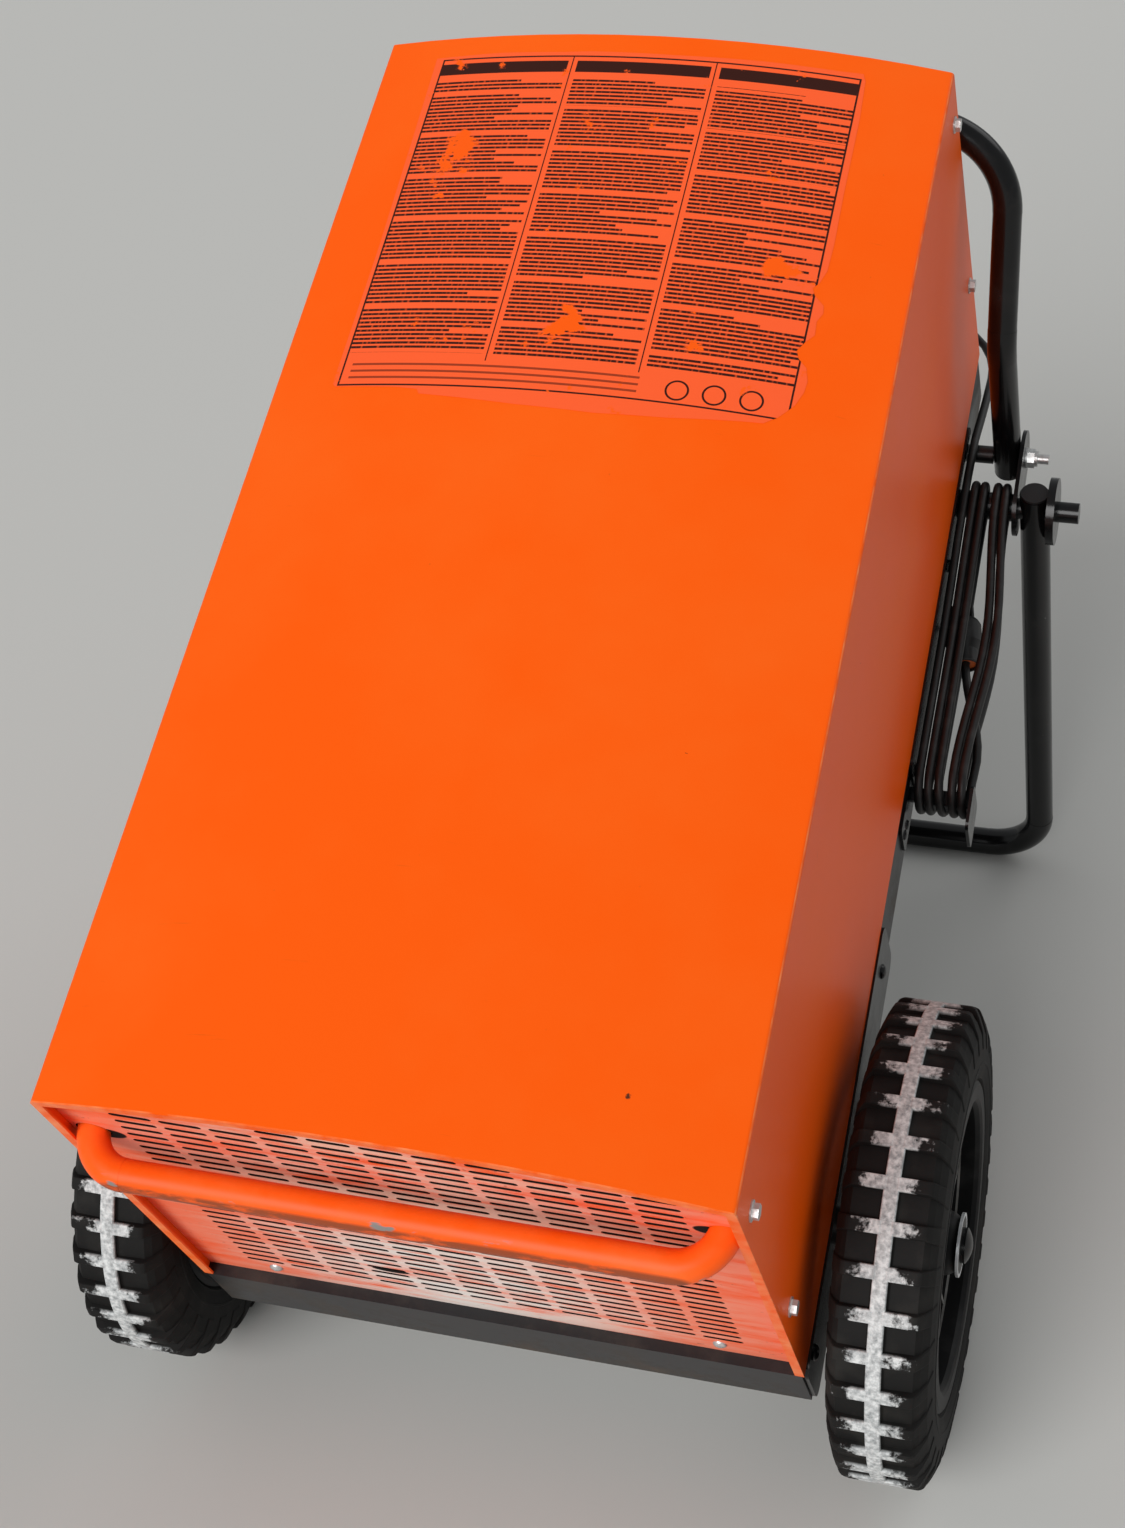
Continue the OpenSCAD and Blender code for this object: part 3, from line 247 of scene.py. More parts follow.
# %% Stage and light
bpy.context.scene.view_settings.view_transform = "Standard"
floor_mesh = bmesh.new()
bmesh.ops.create_grid(floor_mesh, x_segments=1, y_segments=1, size=12)  # metres to each side
floor_data = bpy.data.meshes.new("floor")
floor_mesh.to_mesh(floor_data)
floor_mesh.free()
floor = bpy.data.objects.new("floor", floor_data)
bpy.context.scene.collection.objects.link(floor)
pale_floor = finish("pale_floor", "#cfceca", 0.85)[0]
floor_data.materials.append(pale_floor)

world = bpy.data.worlds.new("studio")
bpy.context.scene.world = world
world.use_nodes = True
world.node_tree.nodes["Background"].inputs["Color"].default_value = linear("#eef1f3")
world.node_tree.nodes["Background"].inputs["Strength"].default_value = 0.37


def lamp(name, strength, direction):
    """A soft, even lamp that shines from a direction, like a big window far off."""
    data = bpy.data.lights.new(name, "SUN")
    data.energy = strength
    data.angle = math.radians(40)
    lamp_object = bpy.data.objects.new(name, data)
    lamp_object.rotation_euler = Vector(direction).to_track_quat("Z", "Y").to_euler()
    bpy.context.scene.collection.objects.link(lamp_object)


lamp("front_lamp", 2.5, (-0.25, -0.85, 0.46))
lamp("back_lamp", 0.4, (0.5, 0.6, 0.62))
print("stage ready")

# %% [markdown]
# The housing is folded steel with an orange powder coat. The powder melts into a skin with a faint orange peel,
# and years of site work leave a haze of dust, small scratches, paint rubbed thin on the folds and a few chips
# that have gone dark. The folds also carry a painted highlight. A painted image could hold these marks, but noise
# has no seams and stays sharp near by, so each mark is a noise of its own size. The coat's own gloss is low, so
# that its colour stays deep.

# %% Orange powder coat
powder_coat, shader, spot = finish("orange_powder_coat", "#ff5a00", 0.38, gloss=0.16)
axes = axes_of(powder_coat, spot)
# The haze lies in clouds about 250 mm across.
haze = add(powder_coat, "TexNoise", {"Vector": spot, "Scale": 4.0, "Detail": 6.0, "Roughness": 0.6})
haze_share = add(powder_coat, "MapRange", {"Value": haze, "From Min": 0.42, "From Max": 0.75, "To Max": 0.55})
coat = add(powder_coat, "Mix", {"Factor": haze_share, "A": linear("#ff5c00"), "B": linear("#fd6a16")},
           data_type="RGBA")
# Scratches run askew, up to 70 mm long and 4 mm wide.
scratch_place = add(powder_coat, "Mapping", {"Vector": spot, "Rotation": (0.3, 0.5, 0.9), "Scale": (14, 260, 60)})
scratches = add(powder_coat, "TexNoise", {"Vector": scratch_place, "Scale": 1.0, "Detail": 3.0})
scratch_share = add(powder_coat, "MapRange", {"Value": scratches, "From Min": 0.74, "From Max": 0.8, "To Max": 0.3})
coat = add(powder_coat, "Mix", {"Factor": scratch_share, "A": coat, "B": linear("#c94e14")}, data_type="RGBA")
print("haze and scratches:", len(powder_coat.node_tree.nodes), "nodes")

# %% Painted highlight and rubbed paint on the folds of the powder coat
# A painted highlight, with paint rubbed thin, lies within 1.5 mm of the folds along the top, and of the edge at
# the grille end.
from_middle = add(powder_coat, "Math", {0: axes["X"]}, operation="ABSOLUTE")
top_folds = region(powder_coat, (from_middle, (HALF_WIDTH - 1.4) / 1000, 1.0),
                   (axes["Z"], (FOLD_UP - 1.5) / 1000, 1.0))
grille_edge = region(powder_coat, (axes["Y"], -1.0, 0.0012))
folds = add(powder_coat, "Math", {0: top_folds, 1: grille_edge}, operation="MAXIMUM")
# The painted highlight and the rubbing come and go every 15 to 20 mm.
fold_highlight_and_rub_noise = add(powder_coat, "TexNoise", {"Vector": spot, "Scale": 60.0, "Detail": 5.0})
fold_highlight_and_rub_share = add(powder_coat, "MapRange", {"Value": fold_highlight_and_rub_noise, "From Min": 0.35, "From Max": 0.7, "To Max": 0.7})
fold_highlight_and_rub = add(powder_coat, "Math", {0: folds, 1: fold_highlight_and_rub_share}, operation="MULTIPLY")
# Painted highlight: the folds take a paler orange, with paint rubbed thin.
coat = add(powder_coat, "Mix", {"Factor": fold_highlight_and_rub, "A": coat, "B": linear("#ff9a63")}, data_type="RGBA")
print("with rubbed folds:", len(powder_coat.node_tree.nodes), "nodes")

# %% Chips and orange peel of the powder coat
# Most chips are pinpricks of 1 to 2 mm. Two are 4 to 6 mm across, near the grille end and beside the film.
chips = add(powder_coat, "TexNoise", {"Vector": spot, "Scale": 190.0, "Detail": 2.0})
chip_share = add(powder_coat, "MapRange", {"Value": chips, "From Min": 0.805, "From Max": 0.83})
level_place = add(powder_coat, "CombineXYZ", {"X": axes["X"], "Y": axes["Y"], "Z": axes["Z"]})
for chip_place, chip_size in (((0.178, 0.065, 0.518), 0.0066), ((0.225, 0.905, 0.512), 0.006)):
    chip_far = add(powder_coat, "VectorMath", {0: level_place, 1: chip_place}, operation="DISTANCE").outputs["Value"]
    ragged = add(powder_coat, "Math", {0: chips, 1: 0.011, 2: chip_far}, operation="MULTIPLY_ADD")
    chip = add(powder_coat, "MapRange", {
        "Value": ragged, "From Min": chip_size + 0.001, "From Max": chip_size - 0.0005})
    chip_share = add(powder_coat, "Math", {0: chip_share, 1: chip}, operation="MAXIMUM")
add(powder_coat, "Mix", {"Factor": chip_share, "A": coat, "B": linear("#5a2c18")}, shader.inputs["Base Color"],
    data_type="RGBA")
add(powder_coat, "MapRange", {"Value": haze, "To Min": 0.3, "To Max": 0.5}, shader.inputs["Roughness"])
# Orange peel has waves of 2 to 3 mm.
peel = add(powder_coat, "TexNoise", {"Vector": spot, "Scale": 420.0, "Detail": 1.0})
add(powder_coat, "Bump", {"Height": peel, "Strength": 0.1, "Distance": 0.0003}, shader.inputs["Normal"])
print(powder_coat.name, "has", len(powder_coat.node_tree.nodes), "nodes")

# %% [markdown]
# The grille carries the same coat, but boots, bags and blown plaster have rubbed it pale between its slots. The cut
# edges of the slots are painted near black, as painted shade with caked dust, so the slots read as black lines. Each
# slot edge could have a material of its own, but the depth behind the panel's face picks them all out at once, and
# the panel's mesh stays as it is.

# %% Rubbed coat of the grille
grille_coat, shader, spot = finish("rubbed_grille_coat", "#fb5c20", 0.5, gloss=0.2)
axes = axes_of(grille_coat, spot)
from_middle = add(grille_coat, "Math", {0: axes["X"]}, operation="ABSOLUTE")
# Streaks run with the slots, about 110 mm long and 17 mm high, and are thickest in the middle of the panel.
streak_place = add(grille_coat, "Mapping", {"Vector": spot, "Scale": (9, 60, 60)})
streaks = add(grille_coat, "TexNoise", {"Vector": streak_place, "Scale": 1.0, "Detail": 8.0, "Roughness": 0.7})
inwards = add(grille_coat, "MapRange", {
    "Value": from_middle, "From Min": 0.24, "From Max": 0.05, "To Min": 0.3, "To Max": 0.95})
rubbing = add(grille_coat, "MapRange", {"Value": streaks, "From Min": 0.36, "From Max": 0.56})
rubbing = add(grille_coat, "Math", {0: rubbing, 1: inwards}, operation="MULTIPLY")
coat = add(grille_coat, "Mix", {"Factor": rubbing, "A": linear("#ff5f26"), "B": linear("#f6bfa9")}, data_type="RGBA")
# The coat is worn to white primer round a place 30 mm left of the middle and 150 mm up.
worn_place = add(grille_coat, "CombineXYZ", {"X": axes["X"], "Z": axes["Z"]})
worn_far = add(grille_coat, "VectorMath", {0: worn_place, 1: (-0.03, 0, 0.15)}, operation="DISTANCE").outputs["Value"]
worn_share = add(grille_coat, "MapRange", {"Value": worn_far, "From Min": 0.21, "From Max": 0.06, "To Max": 0.95})
worn_share = add(grille_coat, "Math", {0: rubbing, 1: worn_share}, operation="MULTIPLY")
coat = add(grille_coat, "Mix", {"Factor": worn_share, "A": coat, "B": linear("#efeae4")}, data_type="RGBA")
# Specks of rusty dirt are 5 to 10 mm across.
specks = add(grille_coat, "TexNoise", {"Vector": spot, "Scale": 120.0, "Detail": 4.0, "Roughness": 0.65})
speck_share = add(grille_coat, "MapRange", {"Value": specks, "From Min": 0.64, "From Max": 0.74, "To Max": 0.6})
coat = add(grille_coat, "Mix", {"Factor": speck_share, "A": coat, "B": linear("#7c4026")}, data_type="RGBA")
print("rubbing and specks:", len(grille_coat.node_tree.nodes), "nodes")

# %% Painted shade in the slots and torn holes of the grille
# The panel's face lies 10 mm inside the housing's end, so a slot's walls start just behind that. The walls take
# painted shade, with caked dust.
painted_slot_and_hole_shade = add(grille_coat, "MapRange", {"Value": axes["Y"], "From Min": 0.01015, "From Max": 0.0104})
# One slot was knocked open to an oval 34 mm wide and 11 mm high, and the holes for the bar's ends are torn inwards
# to ovals 31 mm wide and 19 mm high. These holes are not cut: their dark inside is painted shade. Each entry is a
# distance across, the oval's middle across and up, how flat it is, and the half widths at which its soft edge starts
# and is fully dark.
ovals = ((axes["X"], -0.077, 0.151, 3.1, 0.0175, 0.0155), (from_middle, 0.236, 0.419, 1.6, 0.0165, 0.015))
for across, middle, height, flatness, starts, full in ovals:
    oval_place = add(grille_coat, "CombineXYZ", {
        "X": add(grille_coat, "Math", {0: across, 1: 1.0, 2: -middle}, operation="MULTIPLY_ADD"),
        "Y": add(grille_coat, "Math", {0: axes["Z"], 1: flatness, 2: -height * flatness}, operation="MULTIPLY_ADD")})
    oval_far = add(grille_coat, "VectorMath", {0: oval_place}, operation="LENGTH").outputs["Value"]
    oval = add(grille_coat, "MapRange", {"Value": oval_far, "From Min": starts, "From Max": full})
    painted_slot_and_hole_shade = add(grille_coat, "Math", {0: painted_slot_and_hole_shade, 1: oval}, operation="MAXIMUM")
# Painted shade of the slots and holes: a near-black brown.
add(grille_coat, "Mix", {"Factor": painted_slot_and_hole_shade, "A": coat, "B": linear("#120a07")}, shader.inputs["Base Color"],
    data_type="RGBA")
add(grille_coat, "MapRange", {"Value": painted_slot_and_hole_shade, "To Min": 0.45, "To Max": 0.9}, shader.inputs["Roughness"])
print(grille_coat.name, "has", len(grille_coat.node_tree.nodes), "nodes")

# %% [markdown]
# The front bar is a tube in the same coat. It takes the knocks: the paint is scraped to brown primer along its
# foremost line, with a few patches of bare grey steel. The bar could be painted by hand, but its middle line lies
# 20 mm in front of the housing, so the distance along the housing finds that line on the bar's whole length.

# %% Scraped coat of the bar
bar_coat, shader, spot = finish("scraped_bar_coat", "#ff5c0c", 0.4, gloss=0.2)
axes = axes_of(bar_coat, spot)
# The haze is in clouds about 55 mm across.
haze = add(bar_coat, "TexNoise", {"Vector": spot, "Scale": 18.0, "Detail": 7.0, "Roughness": 0.65})
haze_share = add(bar_coat, "MapRange", {"Value": haze, "From Min": 0.4, "From Max": 0.8, "To Max": 0.4})
coat = add(bar_coat, "Mix", {"Factor": haze_share, "A": linear("#ff5c0c"), "B": linear("#ff7e3e")}, data_type="RGBA")
# The tube's foremost line is 32.5 mm in front of the housing. Scrapes are up to 45 mm long and 11 mm high.
foremost = add(bar_coat, "MapRange", {"Value": axes["Y"], "From Min": -0.0288, "From Max": -0.0306})
scrape_place = add(bar_coat, "Mapping", {"Vector": spot, "Scale": (22, 90, 90)})
scrapes = add(bar_coat, "TexNoise", {"Vector": scrape_place, "Scale": 1.0, "Detail": 7.0, "Roughness": 0.7})
scrape_share = add(bar_coat, "MapRange", {"Value": scrapes, "From Min": 0.34, "From Max": 0.5, "To Max": 0.85})
scraped = add(bar_coat, "Math", {0: foremost, 1: scrape_share}, operation="MULTIPLY")
coat = add(bar_coat, "Mix", {"Factor": scraped, "A": coat, "B": linear("#7a4229")}, data_type="RGBA")
# Bare patches are up to 65 mm long and reach a little further round the tube.
patch_band = add(bar_coat, "MapRange", {"Value": axes["Y"], "From Min": -0.0235, "From Max": -0.0265})
patches = add(bar_coat, "TexNoise", {"Vector": scrape_place, "Scale": 0.7, "Detail": 5.0})
patch_share = add(bar_coat, "MapRange", {"Value": patches, "From Min": 0.62, "From Max": 0.65})
patched = add(bar_coat, "Math", {0: patch_band, 1: patch_share}, operation="MULTIPLY")
add(bar_coat, "Mix", {"Factor": patched, "A": coat, "B": linear("#86807c")}, shader.inputs["Base Color"],
    data_type="RGBA")
add(bar_coat, "MapRange", {"Value": haze, "To Min": 0.28, "To Max": 0.55}, shader.inputs["Roughness"])
print(bar_coat.name, "has", len(bar_coat.node_tree.nodes), "nodes")

# %% [markdown]
# The pan under the housing is grey steel. Splashed plaster and rust-brown grime dull it along its lower edge. The
# height above the pan's underside fades the grime out upwards, which is simpler than a mask painted for each side.

# %% Grimy grey enamel
grimy_enamel, shader, spot = finish("grimy_grey_enamel", "#2c2d2f", 0.5, gloss=0.3)
axes = axes_of(grimy_enamel, spot)
# The blotches are about 70 mm across, with fine grain down to a millimetre.
grime = add(grimy_enamel, "TexNoise", {"Vector": spot, "Scale": 14.0, "Detail": 9.0, "Roughness": 0.72})
low_down = add(grimy_enamel, "MapRange", {"Value": axes["Z"], "From Min": 0.06, "From Max": 0.0, "To Min": 0.25})
grime_share = add(grimy_enamel, "MapRange", {"Value": grime, "From Min": 0.48, "From Max": 0.74, "To Max": 0.85})
grime_share = add(grimy_enamel, "Math", {0: grime_share, 1: low_down}, operation="MULTIPLY")
add(grimy_enamel, "Mix", {"Factor": grime_share, "A": linear("#1a1b1d"), "B": linear("#6a5d50")},
    shader.inputs["Base Color"], data_type="RGBA")
add(grimy_enamel, "MapRange", {"Value": grime_share, "To Min": 0.36, "To Max": 0.85}, shader.inputs["Roughness"])
print(grimy_enamel.name, "has", len(grimy_enamel.node_tree.nodes), "nodes")

# %% [markdown]
# Handle, stand and side plates are steel in a gloss black enamel, scuffed through to dull grey here and there. A
# separate coat layer could give the gloss, but one low roughness with a film of dust over it gives it more cheaply.

# %% Gloss black enamel
black_enamel, shader, spot = finish("gloss_black_enamel", "#0a0a0b", 0.24, gloss=0.38)
# The dust lies in clouds about 45 mm across.
dust = add(black_enamel, "TexNoise", {"Vector": spot, "Scale": 22.0, "Detail": 8.0, "Roughness": 0.7})
dust_share = add(black_enamel, "MapRange", {"Value": dust, "From Min": 0.52, "From Max": 0.8, "To Max": 0.14})
dusted = add(black_enamel, "Mix", {"Factor": dust_share, "A": linear("#0a0a0b"), "B": linear("#5c5a57")},
             data_type="RGBA")
# Scuffs are 2 to 4 mm across.
scuffs = add(black_enamel, "TexNoise", {"Vector": spot, "Scale": 130.0, "Detail": 3.0})
scuff_share = add(black_enamel, "MapRange", {"Value": scuffs, "From Min": 0.74, "From Max": 0.8, "To Max": 0.6})
add(black_enamel, "Mix", {"Factor": scuff_share, "A": dusted, "B": linear("#8c8984")}, shader.inputs["Base Color"],
    data_type="RGBA")
add(black_enamel, "MapRange", {"Value": dust, "To Min": 0.08, "To Max": 0.34}, shader.inputs["Roughness"])
print(black_enamel.name, "has", len(black_enamel.node_tree.nodes), "nodes")

# %% [markdown]
# Screws and nuts are zinc plated: bright, a little blue, and mottled where the plating has dulled. Only the spacers
# that hold the handle off the side plates are coloured black and not metallic. They are one part with their bolts,
# so their place picks them out. The sheet parts inside are galvanised, with the large flat crystals of hot-dipped
# zinc, which a Voronoi pattern draws better than noise does.

# %% Zinc plate and galvanised sheet
PLATE_METAL = 0.7
zinc_plate, shader, spot = finish("zinc_plate", "#dfe2e4", 0.35, PLATE_METAL)
axes = axes_of(zinc_plate, spot)
# The mottling is 4 mm across.
mottle = add(zinc_plate, "TexNoise", {"Vector": spot, "Scale": 260.0, "Detail": 4.0})
plated = add(zinc_plate, "Mix", {"Factor": mottle, "A": linear("#f2f4f5"), "B": linear("#a9a7a2")}, data_type="RGBA")
# The spacers lie 274 to 297 mm from the middle, where the handle turns at the far end.
from_middle = add(zinc_plate, "Math", {0: axes["X"]}, operation="ABSOLUTE")
black_spacer_mask = region(zinc_plate, (from_middle, 0.2735, 0.298), (axes["Y"], 0.9, 2.0))
# The spacers take the black of the enamel and lose their metal.
add(zinc_plate, "Mix", {"Factor": black_spacer_mask, "A": plated, "B": linear("#0a0a0b")}, shader.inputs["Base Color"],
    data_type="RGBA")
add(zinc_plate, "Math", {0: black_spacer_mask, 1: -PLATE_METAL, 2: PLATE_METAL}, shader.inputs["Metallic"],
    operation="MULTIPLY_ADD")
add(zinc_plate, "MapRange", {"Value": mottle, "To Min": 0.2, "To Max": 0.55}, shader.inputs["Roughness"])

galvanised, shader, spot = finish("galvanised_sheet", "#9da1a3", 0.45, 0.9)
# The crystals of the zinc are 10 to 15 mm across.
spangle = add(galvanised, "TexVoronoi", {"Vector": spot, "Scale": 75.0})
add(galvanised, "Mix", {"Factor": spangle, "A": linear("#a8acae"), "B": linear("#85898c")},
    shader.inputs["Base Color"], data_type="RGBA")
add(galvanised, "MapRange", {"Value": spangle, "From Max": 0.8, "To Min": 0.3, "To Max": 0.6},
    shader.inputs["Roughness"])
print(zinc_plate.name, "has", len(zinc_plate.node_tree.nodes), "nodes,",
      galvanised.name, "has", len(galvanised.node_tree.nodes))

# %% [markdown]
# The small mouldings are black polyamide with a fine spark-eroded grain that kills their shine. The rim is the
# same stuff in a bigger mould. Its ribs are rubbed grey where a hand or a kerb reaches them, and its flange carries
# a faint painted highlight. Edge wear could follow the bend of the surface, but here the height above the web picks
# the crowns out exactly.

# %% Moulded black plastic
black_plastic, shader, spot = two_tone(
    "moulded_black_polyamide", ("#19191a", "#5b5a58"), 0.5, 35.0, 7.0, (0.5, 0.8, 0.3))  # dust in 30 mm clouds
# The grain is about a millimetre across.
grain = add(black_plastic, "TexNoise", {"Vector": spot, "Scale": 900.0, "Detail": 2.0})
add(black_plastic, "Bump", {"Height": grain, "Strength": 0.2, "Distance": 0.0002}, shader.inputs["Normal"])

WHEEL_MIDDLE = 0.329
rim_plastic, shader, spot = finish("rubbed_and_highlit_rim_polyamide", "#0b0b0c", 0.5, gloss=0.18)
across = add(rim_plastic, "SeparateXYZ", {"Vector": spot}).outputs["X"]
from_machine = add(rim_plastic, "Math", {0: across}, operation="ABSOLUTE")
from_wheel = add(rim_plastic, "Math", {0: from_machine, 1: WHEEL_MIDDLE}, operation="SUBTRACT")
# The rib tops stand 21 to 23 mm from the wheel's middle plane, and the flange's outer face 40 mm.
crowns = region(rim_plastic, (from_wheel, 0.0206, 0.0226))
flange = region(rim_plastic, (from_wheel, 0.0395, 1.0))
# The flange's outer face takes 4% of the grey as a faint painted highlight; the rib crowns are rubbed grey.
rim_wear_and_highlight = add(rim_plastic, "Math", {0: flange, 1: 0.04, 2: crowns}, operation="MULTIPLY_ADD")
# The wear and the flange's painted highlight come and go every 20 mm or so.
wear = add(rim_plastic, "TexNoise", {"Vector": spot, "Scale": 45.0, "Detail": 7.0})
rim_wear_and_highlight_share = add(rim_plastic, "MapRange", {"Value": wear, "From Min": 0.3, "From Max": 0.7, "To Min": 0.25})
rim_wear_and_highlight = add(rim_plastic, "Math", {0: rim_wear_and_highlight, 1: rim_wear_and_highlight_share}, operation="MULTIPLY")
dusty = add(rim_plastic, "MapRange", {"Value": wear, "From Min": 0.5, "From Max": 0.8, "To Max": 0.05})
rim_wear_and_highlight = add(rim_plastic, "Math", {0: rim_wear_and_highlight, 1: dusty}, operation="MAXIMUM")
add(rim_plastic, "Mix", {"Factor": rim_wear_and_highlight, "A": linear("#0b0b0c"), "B": linear("#a19f9b")},
    shader.inputs["Base Color"], data_type="RGBA")
print(black_plastic.name, "has", len(black_plastic.node_tree.nodes), "nodes,",
      rim_plastic.name, "has", len(rim_plastic.node_tree.nodes))

# %% [markdown]
# The tyre's rubber is matt black. White plaster sticks only to what touches the floor: the rib round the middle
# and the crowns of the lugs. The distance from the axle picks out those crowns, the distance from the middle of
# the tread fades the plaster outwards, and two scales of noise break it into crusts. All of it turns with the
# wheel, because each wheel's rubber is measured from its own middle.

# %% Tyre rubber with plaster dust
AXLE_PLACE = place(0, 144, 17)
TREAD_R = 0.2


def tyre_rubber(name, across):
    """Rubber whose plaster follows one wheel, with its middle at across."""
    material, shader, spot = finish(name, "#121110", 0.75, gloss=0.25)
    centred = add(material, "Mapping", {"Vector": spot, "Location": (-across, -AXLE_PLACE.y, -AXLE_PLACE.z)})
    axes = add(material, "SeparateXYZ", {"Vector": centred}).outputs
    flat = add(material, "CombineXYZ", {"Y": axes["Y"], "Z": axes["Z"]})
    radius = add(material, "VectorMath", {0: flat}, operation="LENGTH").outputs["Value"]
    crown = add(material, "MapRange", {"Value": radius, "From Min": TREAD_R - 0.0036, "From Max": TREAD_R - 0.0012})
    side = add(material, "Math", {0: axes["X"]}, operation="ABSOLUTE")
    middle = add(material, "MapRange", {
        "Value": side, "From Min": 0.005, "From Max": 0.031, "To Min": 0.24, "To Max": -0.12})
    # Crusts are about 13 mm across and their grain 5 mm. Smudges on the rubber are 40 mm.
    crusts = add(material, "TexNoise", {"Vector": spot, "Scale": 75.0, "Detail": 7.0, "Roughness": 0.7})
    coverage = add(material, "Math", {0: crusts, 1: middle}, operation="ADD")
    kept = add(material, "MapRange", {"Value": coverage, "From Min": 0.5, "From Max": 0.6})
    share = add(material, "Math", {0: kept, 1: crown}, operation="MULTIPLY")
    fine = add(material, "TexNoise", {"Vector": spot, "Scale": 210.0, "Detail": 5.0, "Roughness": 0.6})
    tone = add(material, "MapRange", {"Value": fine, "From Min": 0.36, "From Max": 0.68})
    plaster = add(material, "Mix", {"Factor": tone, "A": linear("#d9dbda"), "B": linear("#8b8e8f")}, data_type="RGBA")
    smudge = add(material, "TexNoise", {"Vector": spot, "Scale": 26.0, "Detail": 6.0})
    smudge_share = add(material, "MapRange", {"Value": smudge, "From Min": 0.5, "From Max": 0.8, "To Max": 0.2})
    rubber = add(material, "Mix", {"Factor": smudge_share, "A": linear("#121110"), "B": linear("#55514b")},
                 data_type="RGBA")
    add(material, "Mix", {"Factor": share, "A": rubber, "B": plaster}, shader.inputs["Base Color"], data_type="RGBA")
    add(material, "Bump", {"Height": fine, "Strength": 0.35, "Distance": 0.0006}, shader.inputs["Normal"])
    return material


print("middle of the axle:", AXLE_PLACE)

# %% [markdown]
# The axle and its washers are zinc plated too, but the washer's face is coloured near black and not metallic, so
# that only its outer rim is bright. The rim could be a ring of its own, but the washer is one part with the axle,
# so the distance from the axle picks it out.

# %% Axle with a dark-faced washer
axle_zinc, shader, spot = finish("dark_faced_zinc_plate", "#dfe2e4", 0.35)
centred = add(axle_zinc, "Mapping", {"Vector": spot, "Location": (0, -AXLE_PLACE.y, -AXLE_PLACE.z)})
axes = add(axle_zinc, "SeparateXYZ", {"Vector": centred}).outputs
flat = add(axle_zinc, "CombineXYZ", {"Y": axes["Y"], "Z": axes["Z"]})
radius = add(axle_zinc, "VectorMath", {0: flat}, operation="LENGTH").outputs["Value"]
# The edge of the dark face wavers in patches 4 to 5 mm wide.
ragged_edge_noise = add(axle_zinc, "TexNoise", {"Vector": spot, "Scale": 220.0, "Detail": 4.0})
ragged_washer_radius = add(axle_zinc, "Math", {0: ragged_edge_noise, 1: 0.003, 2: radius}, operation="MULTIPLY_ADD")
# The washer's edge is 27 mm from the axle's middle, and the dark face stops about 3 mm short of it.
bright = add(axle_zinc, "MapRange", {"Value": ragged_washer_radius, "From Min": 0.0248, "From Max": 0.0258})
# The washer's face is near black and not metallic; only its outer rim keeps the bright zinc.
add(axle_zinc, "Mix", {"Factor": bright, "A": linear("#1b1a18"), "B": linear("#e6e8ea")}, shader.inputs["Base Color"],
    data_type="RGBA")
add(axle_zinc, "Math", {0: bright, 1: PLATE_METAL}, shader.inputs["Metallic"], operation="MULTIPLY")
add(axle_zinc, "MapRange", {"Value": ragged_edge_noise, "To Min": 0.25, "To Max": 0.55}, shader.inputs["Roughness"])
print(axle_zinc.name, "has", len(axle_zinc.node_tree.nodes), "nodes")

# %% [markdown]
# The rest are plain stuffs: rubber, a coloured plastic ring, the lint-caked fins of the coils, darkened further as
# painted shade, the fan's filled plastic, and copper pipe. Each could be one flat colour. It has two tones of its
# own instead, as soft dust and handling leave them, which keeps it from looking new beside the worn parts.

# %% Cord rubber, plug ring, fins, fan and pipes
# Clouds of dust on the cord are 17 mm across, which is twice its width.
cord_rubber = two_tone("rubber_cord_sheath", ("#0f0f0f", "#4b4a48"), 0.5, 60.0, 6.0, (0.52, 0.8, 0.3))[0]
# The ring's wear has spots of 3 mm.
ring_plastic = two_tone("orange_ring_plastic", ("#d2601f", "#9c4a22"), 0.45, 300.0, 3.0)[0]
# Coils behind a grille are nearly black for aluminium: lint in 25 mm clouds, and painted shade, as they lie deep
# behind the grille.
fin_aluminium = two_tone("lint_and_shade_finned_aluminium", ("#34332f", "#141312"), 0.7, 40.0, 6.0, metallic=0.3)[0]
# Dust on the fan lies in 20 mm clouds, and the pipes are tarnished in 12 mm ones.
fan_plastic = two_tone("glass_filled_polypropylene", ("#222324", "#4c4b49"), 0.6, 50.0, 5.0)[0]
copper = two_tone("drawn_copper_tube", ("#c98a63", "#7a4f3a"), 0.35, 80.0, 5.0, metallic=1.0)[0]
print("finishes made:", len(bpy.data.materials))

# %% [markdown]
# Each part of the construction model takes its finish by name. A finish for each slot would be shorter, but parts
# of one slot wear differently. The mesh of such a part is never changed: only what fills its material slots is.

# %% Dress the construction parts


def dress(material, *names):
    """Gives a finish to parts of the construction model."""
    for name in names:
        nodes[name].data.materials.clear()
        nodes[name].data.materials.append(material)
    print(material.name, "dresses", len(names), "parts")


tyre_finish = {
    side: tyre_rubber("tyre_rubber_" + side, way * WHEEL_MIDDLE) for side, way in (("left", -1), ("right", 1))
}
dress(powder_coat, "cover", "rear_panel")
dress(grille_coat, "front_panel")
dress(bar_coat, "front_bar")
dress(grimy_enamel, "base_pan", "drip_tray")
dress(black_enamel, "near_plate_left", "near_plate_right", "far_plate_left", "far_plate_right", "handle",
      "stand_frame", "stand_shaft", "pivot_sleeve_left", "pivot_sleeve_right", "pivot_plate_left",
      "pivot_plate_right", "cord_hook", "compressor", "axle_cap_left", "axle_cap_right")
dress(zinc_plate, "cover_screws", "panel_screws", "handle_bolt_left", "handle_bolt_right")
dress(axle_zinc, "axle")
dress(galvanised, "bulkhead", "electrical_box", "fan_motor")
dress(rim_plastic, "rim_left", "rim_right")
dress(black_plastic, "handle_caps", "leg_caps", "cord_gland", "drain_spigot",
      "capacitor", "switch_bezel", "switch_rocker", "compressor_feet")
